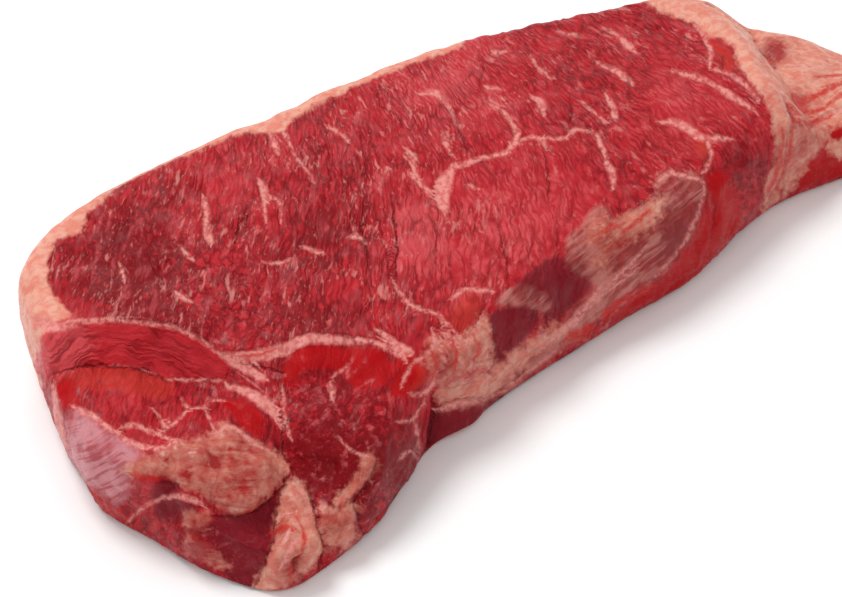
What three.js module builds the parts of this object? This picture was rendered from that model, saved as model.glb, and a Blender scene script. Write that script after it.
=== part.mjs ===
// A raw sirloin (strip loin) steak, cut thick: one piece of meat that lies flat on its lower cut face.
// Millimetres, +Z up. +X runs from the chine end to the tail, +Y points to the fat cap, and the origin
// is at the middle of the base. The upper cut face is the broad eye of the loin. At the chine end two
// smaller muscles fall away from a crest, with lumps of fat on the side below them, and at the other
// end the tail drops behind a crease.
import * as THREE from "three";
import { mergeVertices } from "three/addons/utils/BufferGeometryUtils.js";

// The steak's overall size.
const LENGTH = 260;
const WIDTH = 122;
const THICKNESS = 32;

// The mesh grid: quads along the steak, across it and up its side.
const ALONG = 66;
const ACROSS = 28;
const FOOT_STEPS = 3;
const WALL_STEPS = 3;
const SHOULDER_STEPS = 4;
const UP = FOOT_STEPS + WALL_STEPS + SHOULDER_STEPS;

// The outline seen from above, side by side, as [x, y, radius of the shoulder at its upper edge].
// Each side starts at one of the four corners, which are soft.
const CHINE_END = [
  [-115, 46, 6], [-122, 26, 6], [-126, 4, 6], [-128, -14, 6], [-123, -30, 6], [-117, -46, 6],
];
const BONE_SIDE = [
  [-108, -58, 7], [-94, -58, 8], [-78, -54, 8], [-66, -48, 8], [-55, -43, 9], [-45, -41, 9],
  [-30, -39, 10], [-8, -37, 11], [14, -35, 12], [34, -34, 11], [48, -30, 9], [60, -26, 9],
  [80, -24, 9], [100, -26, 8], [114, -28, 7],
];
const TAIL_END = [[125, -24, 7], [130, -11, 7], [126, 3, 7]];
const FAT_CAP = [
  [119, 15, 6], [107, 29, 6], [94, 39, 6], [82, 46, 5], [60, 52, 5], [32, 59, 5], [0, 62, 5],
  [-36, 62, 5], [-72, 61, 5], [-100, 56, 5],
];
const FOOT_RADIUS = 3;
const WALL_BULGE = 1.2;

// The crest of the chine end, from the fat cap's corner round to the bone side. Everything on its
// outer side is lower. The lobe by the fat cap has a hollow under the crest, and then rises again.
const CREST = [
  [-134, 10], [-117, 18], [-107, 14], [-98, 5], [-91, -8], [-85, -16], [-75, -20], [-66, -25],
  [-59, -35], [-55, -56],
];
const CREST_ROUNDING = 1.5;
const HOLLOW_DEPTH = 8;
const HOLLOW_REACH = 10;
const LOBE_RISE = 3.5;
const LOBE_REACH = 14;

// The lobe by the bone side falls away evenly instead. The seam parts the two lobes.
const LOBE_SEAM = [[-88, -12], [-97, -34], [-106, -60]];
const SEAM_SOFTNESS = 5;
const SLOPE = 0.5;
const SLOPE_DROP = 14;

// Both lobes sink towards the front corner.
const CORNER = [-110, -57];
const CORNER_DROP = 11;
const CORNER_REACH = 36;

// The crease across the tail, and how far the tail drops behind it.
const CREASE = [[94, 46], [94, 30], [92, 17], [88, 4], [82, -10], [77, -21], [73, -32]];
const TAIL_DROP = 11;
const TAIL_REACH = 13;
const TAIL_SLOPE = 0.06;

// The eye is a little crowned: how far it has sunk at half its length, or at half its width.
const CROWN = 1.2;
const CROWN_ALONG = 120;
const CROWN_ACROSS = 60;

// Lumps that stand out of the surface, or hollows where the rise is negative: place, reach and rise.
const LUMPS = [
  { at: [-60, 25, 32], reach: 30, rise: 0.8 }, // the eye
  { at: [30, 15, 32], reach: 34, rise: 0.9 },
  { at: [-15, -5, 32], reach: 16, rise: -0.9 },
  { at: [-113, -1, 26], reach: 11, rise: 1.6 }, // the lobe by the fat cap
  { at: [-80, -38, 24], reach: 12, rise: 1.4 }, // the lobe by the bone side
  { at: [-113, -34, 24], reach: 8, rise: 2.4 }, // fat below the lobes
  { at: [-106, -44, 22], reach: 8, rise: 2.8 },
  { at: [-99, -55, 13], reach: 8, rise: 2.2 },
  { at: [-113, -51, 9], reach: 8, rise: -2.6 },
  { at: [-123, -27, 9], reach: 9, rise: -1.6 },
  { at: [-41, -39, 26], reach: 9, rise: 1.5 }, // the bone side
  { at: [-22, -36, 24], reach: 9, rise: 1.3 },
  { at: [-44, -40, 5], reach: 8, rise: 2 },
  { at: [0, -33, 25], reach: 9, rise: -1.6 },
  { at: [19, -35, 21], reach: 10, rise: 1.5 },
  { at: [37, -32, 20], reach: 8, rise: -1.4 },
  { at: [56, -28, 14], reach: 12, rise: 1.4 },
  { at: [109, 14, 20], reach: 12, rise: 1.6 }, // the tail
  { at: [104, -8, 18], reach: 10, rise: 1 },
  { at: [95, -25, 9], reach: 9, rise: -1.2 },
];

// Furrows along muscle seams and skin folds: path, half width and depth.
const FURROWS = [
  { path: [[-53, -46, 0], [-54, -43, 14], [-57, -38, 26]], width: 5, depth: 3 },
  { path: [[98, 18, 24], [93, 4, 24], [87, -10, 23], [81, -22, 18], [77, -26, 6]], width: 4, depth: 1.6 },
  { path: [[-87, -15, 28], [-86, -24, 26], [-89, -33, 24], [-94, -43, 18]], width: 4, depth: 2 },
  { path: [[-120, -34, 20], [-117, -43, 17], [-109, -50, 17], [-102, -49, 17]], width: 4, depth: 2.2 },
  { path: [[-103, -50, 17], [-108, -56, 12], [-111, -57, 4]], width: 4, depth: 1.8 },
  { path: [[-89, -47, 19], [-93, -56, 13], [-97, -60, 6]], width: 4, depth: 2 },
  { path: [[-51, -42, 12], [-43, -42, 12], [-33, -41, 9], [-14, -38, 6]], width: 4, depth: 1.8 },
];

// Slow unevenness all over.
const WAVE = 0.55;
const WAVE_LENGTHS = [31, 23, 17];
const WAVE_BENDS = [2, 1.3];

const MEAT_COLOUR = 0xa83238;
const MEAT_ROUGHNESS = 0.45;

const smooth = (share) => THREE.MathUtils.smoothstep(share, 0, 1);

const CURVE_STEPS = 90;
const curveThrough = (path) => new THREE.SplineCurve(path.map((p) => new THREE.Vector2(...p)))
  .getPoints(CURVE_STEPS);
const crest = curveThrough(CREST);
const lobeSeam = curveThrough(LOBE_SEAM);
const crease = curveThrough(CREASE);

// The whole outline as one closed curve. Its third value is the shoulder's radius.
const SIDES = [CHINE_END, BONE_SIDE, TAIL_END, FAT_CAP];
const outline = new THREE.CatmullRomCurve3(
  SIDES.flat().map((p) => new THREE.Vector3(...p)), true, "centripetal",
);

// Evenly spaced stations along one side of the outline, each with its point, shoulder and inward
// direction. They are found by walking along the side in fine steps.
const WALK_STEPS = 40;
const HAIR = 1e-6;

function stationsOf(side, count) {
  const knots = SIDES.flat().length;
  const first = SIDES.slice(0, side).flat().length;
  const fine = SIDES[side].length * WALK_STEPS;
  const places = [];
  let run = 0;
  let last = null;
  for (let i = 0; i <= fine; i += 1) {
    const t = (first + (SIDES[side].length * i) / fine) / knots;
    const point = outline.getPoint(t % 1);
    if (last) run += Math.hypot(point.x - last.x, point.y - last.y);
    last = point;
    places.push({ t, run });
  }
  return Array.from({ length: count + 1 }, (_, i) => {
    const wanted = (run * i) / count;
    const { t } = places.find((place) => place.run >= wanted - HAIR);
    const point = outline.getPoint(t % 1);
    const ahead = outline.getTangent(t % 1);
    const inward = new THREE.Vector2(-ahead.y, ahead.x).normalize();
    return { x: point.x, y: point.y, shoulder: point.z, inward };
  });
}

const chine = stationsOf(0, ACROSS).reverse(); // from the bone side to the fat cap
const bone = stationsOf(1, ALONG);
const tail = stationsOf(2, ACROSS);
const cap = stationsOf(3, ALONG).reverse(); // from the chine end to the tail

// How far a level of the side is set in from the outline, and its height in a full-thickness steak.
function profile(level, shoulder) {
  if (level <= FOOT_STEPS) {
    const turn = ((1 - level / FOOT_STEPS) * Math.PI) / 2;
    return [FOOT_RADIUS * (1 - Math.cos(turn)), FOOT_RADIUS * (1 - Math.sin(turn))];
  }
  const wallTop = THICKNESS - shoulder;
  if (level >= UP - SHOULDER_STEPS) {
    const turn = ((level - UP + SHOULDER_STEPS) / SHOULDER_STEPS) * (Math.PI / 2);
    return [shoulder * (1 - Math.cos(turn)), wallTop + shoulder * Math.sin(turn)];
  }
  const share = (level - FOOT_STEPS) / WALL_STEPS;
  const height = THREE.MathUtils.lerp(FOOT_RADIUS, wallTop, share);
  return [-WALL_BULGE * Math.sin(Math.PI * share), height];
}

function setIn(station, inset) {
  return new THREE.Vector2(station.x, station.y).addScaledVector(station.inward, inset);
}

// A point inside the loop of four sides, all set in by their own amount (a Coons patch).
function inside(i, j, insetOf) {
  const at = (station) => setIn(station, insetOf(station));
  const u = i / ALONG;
  const v = j / ACROSS;
  const sides = new THREE.Vector2()
    .addScaledVector(at(bone[i]), 1 - v)
    .addScaledVector(at(cap[i]), v)
    .addScaledVector(at(chine[j]), 1 - u)
    .addScaledVector(at(tail[j]), u);
  return sides
    .addScaledVector(at(bone[0]), -(1 - u) * (1 - v))
    .addScaledVector(at(bone[ALONG]), -u * (1 - v))
    .addScaledVector(at(cap[0]), -(1 - u) * v)
    .addScaledVector(at(cap[ALONG]), -u * v);
}

// Signed distance from a curve in plan, positive on the right-hand side of its direction.
function beyond(curve, x, y) {
  let nearest = Infinity;
  let signed = 0;
  for (let k = 0; k < curve.length - 1; k += 1) {
    const a = curve[k];
    const dx = curve[k + 1].x - a.x;
    const dy = curve[k + 1].y - a.y;
    const share = ((x - a.x) * dx + (y - a.y) * dy) / (dx * dx + dy * dy);
    const t = THREE.MathUtils.clamp(share, 0, 1);
    const away = Math.hypot(x - a.x - t * dx, y - a.y - t * dy);
    if (away < nearest) {
      nearest = away;
      signed = away * Math.sign((y - a.y) * -dx + (x - a.x) * dy);
    }
  }
  return signed;
}

// The steak's thickness at a place in plan.
function thicknessAt(x, y) {
  const past = beyond(crest, x, y);
  const hollow = HOLLOW_DEPTH * smooth((past + CREST_ROUNDING) / HOLLOW_REACH)
    - LOBE_RISE * smooth((past - HOLLOW_REACH) / LOBE_REACH);
  const slope = SLOPE_DROP * (1 - Math.exp((-SLOPE * Math.max(past, 0)) / SLOPE_DROP));
  const boneLobe = smooth(0.5 - beyond(lobeSeam, x, y) / (2 * SEAM_SOFTNESS));
  const chineDrop = THREE.MathUtils.lerp(hollow, slope, boneLobe);
  const toCorner = Math.hypot(x - CORNER[0], y - CORNER[1]);
  const cornerDrop = CORNER_DROP * smooth(1 - toCorner / CORNER_REACH);
  const onTail = Math.max(-beyond(crease, x, y), 0);
  const tailDrop = TAIL_DROP * smooth(onTail / TAIL_REACH) + TAIL_SLOPE * onTail;
  const crown = CROWN * Math.min((x / CROWN_ALONG) ** 2 + (y / CROWN_ACROSS) ** 2, 1);
  return THICKNESS - chineDrop - cornerDrop - tailDrop - crown;
}

// Where each corner of the grid goes, before the relief.
function placed(i, j, level) {
  const alongSide = { 0: bone[i], [ACROSS]: cap[i] }[j];
  const endSide = { 0: chine[j], [ALONG]: tail[j] }[i];
  const side = alongSide ?? endSide;
  if (!side) {
    const top = level === UP;
    const { x, y } = inside(i, j, (station) => (top ? station.shoulder : FOOT_RADIUS));
    return new THREE.Vector3(x, y, top ? thicknessAt(x, y) : 0);
  }
  const rim = setIn(side, side.shoulder);
  const [inset, height] = profile(level, side.shoulder);
  const wall = setIn(side, inset);
  return new THREE.Vector3(wall.x, wall.y, (height * thicknessAt(rim.x, rim.y)) / THICKNESS);
}

function distanceToPath(path, point) {
  let nearest = Infinity;
  for (let k = 0; k < path.length - 1; k += 1) {
    const line = new THREE.Line3(new THREE.Vector3(...path[k]), new THREE.Vector3(...path[k + 1]));
    const close = line.closestPointToPoint(point, true, new THREE.Vector3());
    nearest = Math.min(nearest, close.distanceTo(point));
  }
  return nearest;
}

// How far the surface stands out at a point, along its normal.
function reliefAt(point) {
  let rise = 0;
  for (const lump of LUMPS) {
    const away = point.distanceTo(new THREE.Vector3(...lump.at)) / lump.reach;
    rise += lump.rise * Math.exp(-away * away);
  }
  for (const furrow of FURROWS) {
    const away = distanceToPath(furrow.path, point) / furrow.width;
    rise -= furrow.depth * Math.exp(-away * away);
  }
  const [a, b, c] = WAVE_LENGTHS;
  const [bendAlong, bendAcross] = WAVE_BENDS;
  const wave = Math.sin(point.x / a + bendAlong * Math.sin(point.y / b))
    + Math.sin(point.y / c + point.z / b + bendAcross * Math.sin(point.x / b));
  return rise + (WAVE / 2) * wave;
}

// Each quad of the grid is two triangles. They are parted along its more level diagonal, which keeps
// the crests and creases clean.
function partAlongLevels(geometry) {
  const index = geometry.getIndex();
  const position = geometry.getAttribute("position");
  for (let n = 0; n < index.count; n += 6) {
    const [a, b, d] = [index.getX(n), index.getX(n + 1), index.getX(n + 2)];
    const c = index.getX(n + 4);
    const risePast = (from, to) => Math.abs(position.getZ(from) - position.getZ(to));
    if (risePast(a, c) < risePast(b, d)) {
      [a, b, c, a, c, d].forEach((corner, k) => index.setX(n + k, corner));
    }
  }
}

// Scales and shifts the finished form by a hair, so that it has exactly its overall size and stands
// with the middle of its base at the origin.
function fitToSize(geometry) {
  geometry.computeBoundingBox();
  const { min, max } = geometry.boundingBox;
  geometry.translate(-(min.x + max.x) / 2, -(min.y + max.y) / 2, -min.z);
  geometry.scale(LENGTH / (max.x - min.x), WIDTH / (max.y - min.y), THICKNESS / (max.z - min.z));
}

function steakGeometry() {
  const box = new THREE.BoxGeometry(ALONG, ACROSS, UP, ALONG, ACROSS, UP);
  box.deleteAttribute("normal");
  box.deleteAttribute("uv");
  const geometry = mergeVertices(box);
  const position = geometry.getAttribute("position");
  const onBase = [];
  for (let n = 0; n < position.count; n += 1) {
    const i = Math.round(position.getX(n) + ALONG / 2);
    const j = Math.round(position.getY(n) + ACROSS / 2);
    const level = Math.round(position.getZ(n) + UP / 2);
    onBase.push(level === 0);
    const place = placed(i, j, level);
    position.setXYZ(n, place.x, place.y, place.z);
  }
  geometry.computeVertexNormals();
  const normal = geometry.getAttribute("normal");
  const point = new THREE.Vector3();
  const out = new THREE.Vector3();
  for (let n = 0; n < position.count; n += 1) {
    if (onBase[n]) continue;
    point.fromBufferAttribute(position, n);
    out.fromBufferAttribute(normal, n);
    const height = point.z;
    point.addScaledVector(out, reliefAt(point) * smooth(height / FOOT_RADIUS));
    point.z = Math.max(point.z, height / 2);
    position.setXYZ(n, point.x, point.y, point.z);
  }
  partAlongLevels(geometry);
  fitToSize(geometry);
  geometry.computeVertexNormals();
  return geometry;
}

const steak = new THREE.Mesh(
  steakGeometry(),
  new THREE.MeshStandardMaterial({ color: MEAT_COLOUR, roughness: MEAT_ROUGHNESS, metalness: 0 }),
);
steak.name = "sirloin_steak";

const group = new THREE.Group();
group.add(steak);
export default group;
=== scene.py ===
"""The looks of a raw sirloin steak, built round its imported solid. Metres, +Z up.

The solid is smoothed into a fine mesh. The edges of its fat, skins, seams and cracks are traced as
picture points, seen by the camera, and laid on the mesh as named attributes. A Geometry Nodes tree
raises the fine relief, and one material colours the flesh, the fat and the skins by the attributes.
"""

import math

import bmesh
import bpy
import numpy as np
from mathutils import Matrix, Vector
from mathutils.bvhtree import BVHTree


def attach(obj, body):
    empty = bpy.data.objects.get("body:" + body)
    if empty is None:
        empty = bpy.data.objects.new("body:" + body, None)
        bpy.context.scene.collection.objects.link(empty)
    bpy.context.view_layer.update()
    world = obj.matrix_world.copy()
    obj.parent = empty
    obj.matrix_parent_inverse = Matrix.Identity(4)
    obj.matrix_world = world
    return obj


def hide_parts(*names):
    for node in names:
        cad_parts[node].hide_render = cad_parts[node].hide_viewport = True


MM = 0.001

# The picture, in picture points, and the camera that takes it.
PICTURE_WIDE = 842
PICTURE_HIGH = 597
POINTS_PER_MM = 4.4
CAMERA_TURN = math.radians(-36)
CAMERA_RISE = math.radians(42)
CAMERA_AWAY = 515 * MM
CAMERA_LENS = 85
CAMERA_SENSOR = 36
CAMERA_CLIP = 10 * MM
LOOK_AT = Vector((-25, 2.5, 0)) * MM

# The fine mesh: how often it is divided, and how flat two triangles are that make one quad.
SMOOTH_LEVELS = 2
QUAD_ANGLE = math.radians(60)
WELD = 1e-6

# How far the traced forms stand out, in millimetres, and how wide their slopes are, in picture points.
FAT_SWELL = 0.45
FAT_SLOPE = 9
SKIN_SWELL = 0.25
DARK_SINK = 0.35
CRACK_DEPTH = 0.95
CRACK_HALF_WIDTH = 3.6
RIDGE_RISE = 0.8
RIDGE_HALF_WIDTH = 6
SEAM_SINK = 0.18
SEAM_HALF_WIDTH = 5
FLESH_SLOPE = 6
HOLD_HEIGHT = 2.5 * MM

# Fat, as closed rings of picture points.
FAT_RINGS = {
    "rim of the chine end": [
        (350, 86), (335, 97), (311, 108), (290, 121), (281, 132), (258, 133), (235, 136), (205, 148),
        (176, 159), (147, 171), (126, 183), (103, 200), (88, 213), (82, 230), (59, 240), (50, 254),
        (48, 272), (51, 292), (62, 304), (72, 316), (58, 322), (44, 335), (37, 350), (34, 368),
        (42, 388), (20, 392), (5, 300), (5, 240), (55, 185), (150, 140), (250, 95), (340, 55),
    ],
    "rim over the eye": [
        (340, 88), (367, 82), (400, 69), (430, 58), (458, 49), (464, 44), (455, 30), (330, 55),
    ],
    "lumps": [
        (126, 464), (140, 458), (158, 455), (182, 444), (205, 438), (217, 430), (229, 426), (243, 435),
        (255, 444), (276, 452), (286, 464), (284, 478), (273, 491), (258, 505), (243, 514), (226, 514),
        (214, 502), (199, 493), (182, 485), (164, 476), (147, 474), (129, 477),
    ],
    "column": [
        (287, 480), (302, 482), (311, 499), (317, 517), (324, 535), (325, 555), (311, 569), (293, 584),
        (273, 590), (252, 592), (258, 576), (270, 558), (273, 537), (276, 517), (281, 496),
    ],
    "strip of the bone lobe": [
        (372, 452), (378, 464), (367, 482), (352, 499), (334, 506), (336, 494), (352, 482), (360, 464),
        (364, 455),
    ],
    "foot of the bone lobe": [
        (322, 504), (334, 508), (352, 504), (360, 512), (352, 524), (360, 540), (343, 548), (330, 546),
        (324, 528),
    ],
    "foot below the lumps": [
        (182, 514), (196, 514), (211, 515), (206, 526), (198, 533), (205, 545), (218, 556), (226, 568),
        (214, 566), (196, 556), (184, 546), (188, 536),
    ],
    "fold of the bone side": [
        (430, 340), (439, 338), (448, 342), (463, 334), (476, 326), (483, 315), (489, 325), (491, 343),
        (495, 365), (483, 369), (468, 372), (451, 381), (437, 386), (430, 372), (424, 356),
    ],
    "foot of the bone side": [
        (439, 390), (468, 379), (498, 370), (513, 355), (535, 340), (552, 326), (568, 330), (548, 348),
        (520, 372), (498, 392), (470, 402), (444, 408),
    ],
    "streaks of the skin": [
        (588, 224), (600, 214), (614, 220), (642, 208), (656, 198), (664, 204), (655, 222), (634, 240),
        (610, 254), (604, 270), (588, 268), (596, 250), (584, 240),
    ],
    "band of the tail": [
        (648, 4), (664, -4), (684, -4), (710, 4), (734, 21), (752, 26), (758, 48), (775, 70), (786, 93),
        (792, 121), (793, 135), (789, 158), (786, 178), (777, 200), (762, 214), (766, 186), (775, 160),
        (774, 130), (768, 108), (755, 88), (742, 71), (735, 54), (728, 44), (718, 38), (708, 37),
        (699, 26), (672, 16),
    ],
    "tail": [
        (752, 20), (790, 20), (830, 38), (880, 70), (900, 120), (870, 132), (846, 116), (831, 112),
        (815, 122), (800, 120), (789, 106), (784, 90), (772, 62), (757, 44),
    ],
    "foot of the tail": [
        (790, 120), (800, 124), (815, 124), (831, 110), (843, 98), (856, 110), (848, 122), (830, 130),
        (824, 144), (808, 162), (796, 184), (782, 196), (784, 170), (790, 150),
    ],
    "end of the tail": [(828, 142), (846, 138), (880, 130), (880, 150), (846, 158), (830, 152)],
    "outer end of the tail": [
        (850, 112), (900, 88), (965, 96), (960, 260), (872, 240), (856, 224), (866, 204), (852, 188),
        (864, 172), (850, 154), (852, 136),
    ],
}

# Thin skins that lie over the flesh.
SKIN_RINGS = {
    "chine end": [
        (76, 411), (88, 415), (100, 426), (123, 441), (141, 455), (138, 466), (129, 476), (130, 490),
        (118, 503), (97, 489), (78, 474), (68, 458), (70, 432),
    ],
}

# Flesh that is darker and more purple than the eye. In the recess, the two notches and the foot of the
# lumps, which are hollows under the lumps, the dark is painted shade.
DARK_AND_SHADED_RINGS = {
    "first patch": [
        (489, 315), (507, 306), (536, 305), (540, 321), (528, 338), (513, 354), (498, 369), (488, 362),
        (491, 338),
    ],
    "second patch": [
        (519, 282), (539, 265), (557, 255), (586, 266), (596, 276), (584, 297), (563, 315), (548, 325),
        (545, 312), (548, 300), (522, 297),
    ],
    "flap": [
        (430, 420), (446, 410), (460, 399), (482, 396), (502, 398), (482, 420), (458, 440), (440, 462),
        (426, 474),
    ],
    # From here on, the rings are hollows under the lumps, darkened with painted shade.
    "recess": [
        (217, 515), (252, 515), (276, 497), (277, 523), (268, 549), (256, 583), (240, 594), (224, 572),
        (214, 548), (202, 534),
    ],
    "upper notch": [(160, 476), (184, 478), (178, 492), (160, 504), (150, 498)],
    "lower notch": [(152, 506), (172, 500), (190, 502), (196, 514), (178, 524), (156, 520)],
    "foot of the lumps": [(188, 526), (204, 522), (214, 532), (200, 536)],
}

# Flesh that is brighter and redder than the eye.
BRIGHT_RINGS = {
    "bone side": [
        (707, 176), (724, 170), (732, 190), (744, 230), (720, 258), (692, 286), (662, 306), (630, 322),
        (612, 318), (622, 304), (646, 288), (664, 276), (682, 252), (699, 222), (708, 197),
    ],
    "left of the cap lobe": [(58, 382), (72, 380), (78, 396), (74, 410), (62, 404)],
    "between the lobes": [(222, 404), (240, 398), (256, 408), (266, 428), (258, 440), (238, 424)],
    "crest of the bone lobe": [
        (280, 374), (288, 356), (306, 346), (326, 346), (346, 350), (372, 348), (390, 358), (394, 372),
        (384, 386), (362, 390), (350, 384), (342, 372), (318, 368), (300, 380), (288, 388),
    ],
    "hole by the fold": [(397, 352), (406, 351), (411, 360), (406, 370), (398, 374), (394, 364)],
    "low left": [(70, 466), (92, 484), (112, 504), (128, 512), (122, 530), (98, 516), (70, 486)],
    "under the fold": [(404, 360), (418, 372), (412, 390), (396, 398), (388, 386)],
    "foot of the tail": [
        (812, 156), (828, 158), (850, 160), (850, 172), (806, 186), (792, 196), (802, 172),
    ],
    "scrap by the scar": [(568, 334), (576, 326), (590, 324), (588, 334), (574, 344)],
    "second scrap": [(598, 314), (610, 304), (618, 304), (612, 316), (602, 322)],
    "behind the tail fat": [(826, 126), (850, 122), (850, 140), (830, 142)],
}

# Flesh tinted orange by fat just under its surface.
ORANGE_RINGS = {
    "lobe by the band": [(711, 40), (722, 43), (733, 55), (736, 68), (727, 72), (716, 62)],
    "cap lobe": [
        (60, 377), (88, 367), (126, 366), (158, 373), (174, 385), (164, 399), (141, 398), (117, 392),
        (88, 389), (65, 389),
    ],
    "bone side": [(451, 306), (462, 298), (477, 296), (484, 312), (474, 328), (458, 333), (450, 322)],
    "fold": [(404, 362), (416, 360), (424, 372), (420, 386), (408, 386), (404, 374)],
    "bone lobe": [(344, 350), (356, 348), (364, 354), (358, 364), (348, 362)],
    "bone lobe, left": [(284, 368), (294, 354), (308, 350), (312, 360), (300, 370), (290, 380)],
    "column": [(273, 528), (284, 524), (292, 528), (284, 536), (276, 540)],
    "tail seam": [(694, 140), (706, 136), (712, 150), (704, 160), (694, 152)],
}

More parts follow.
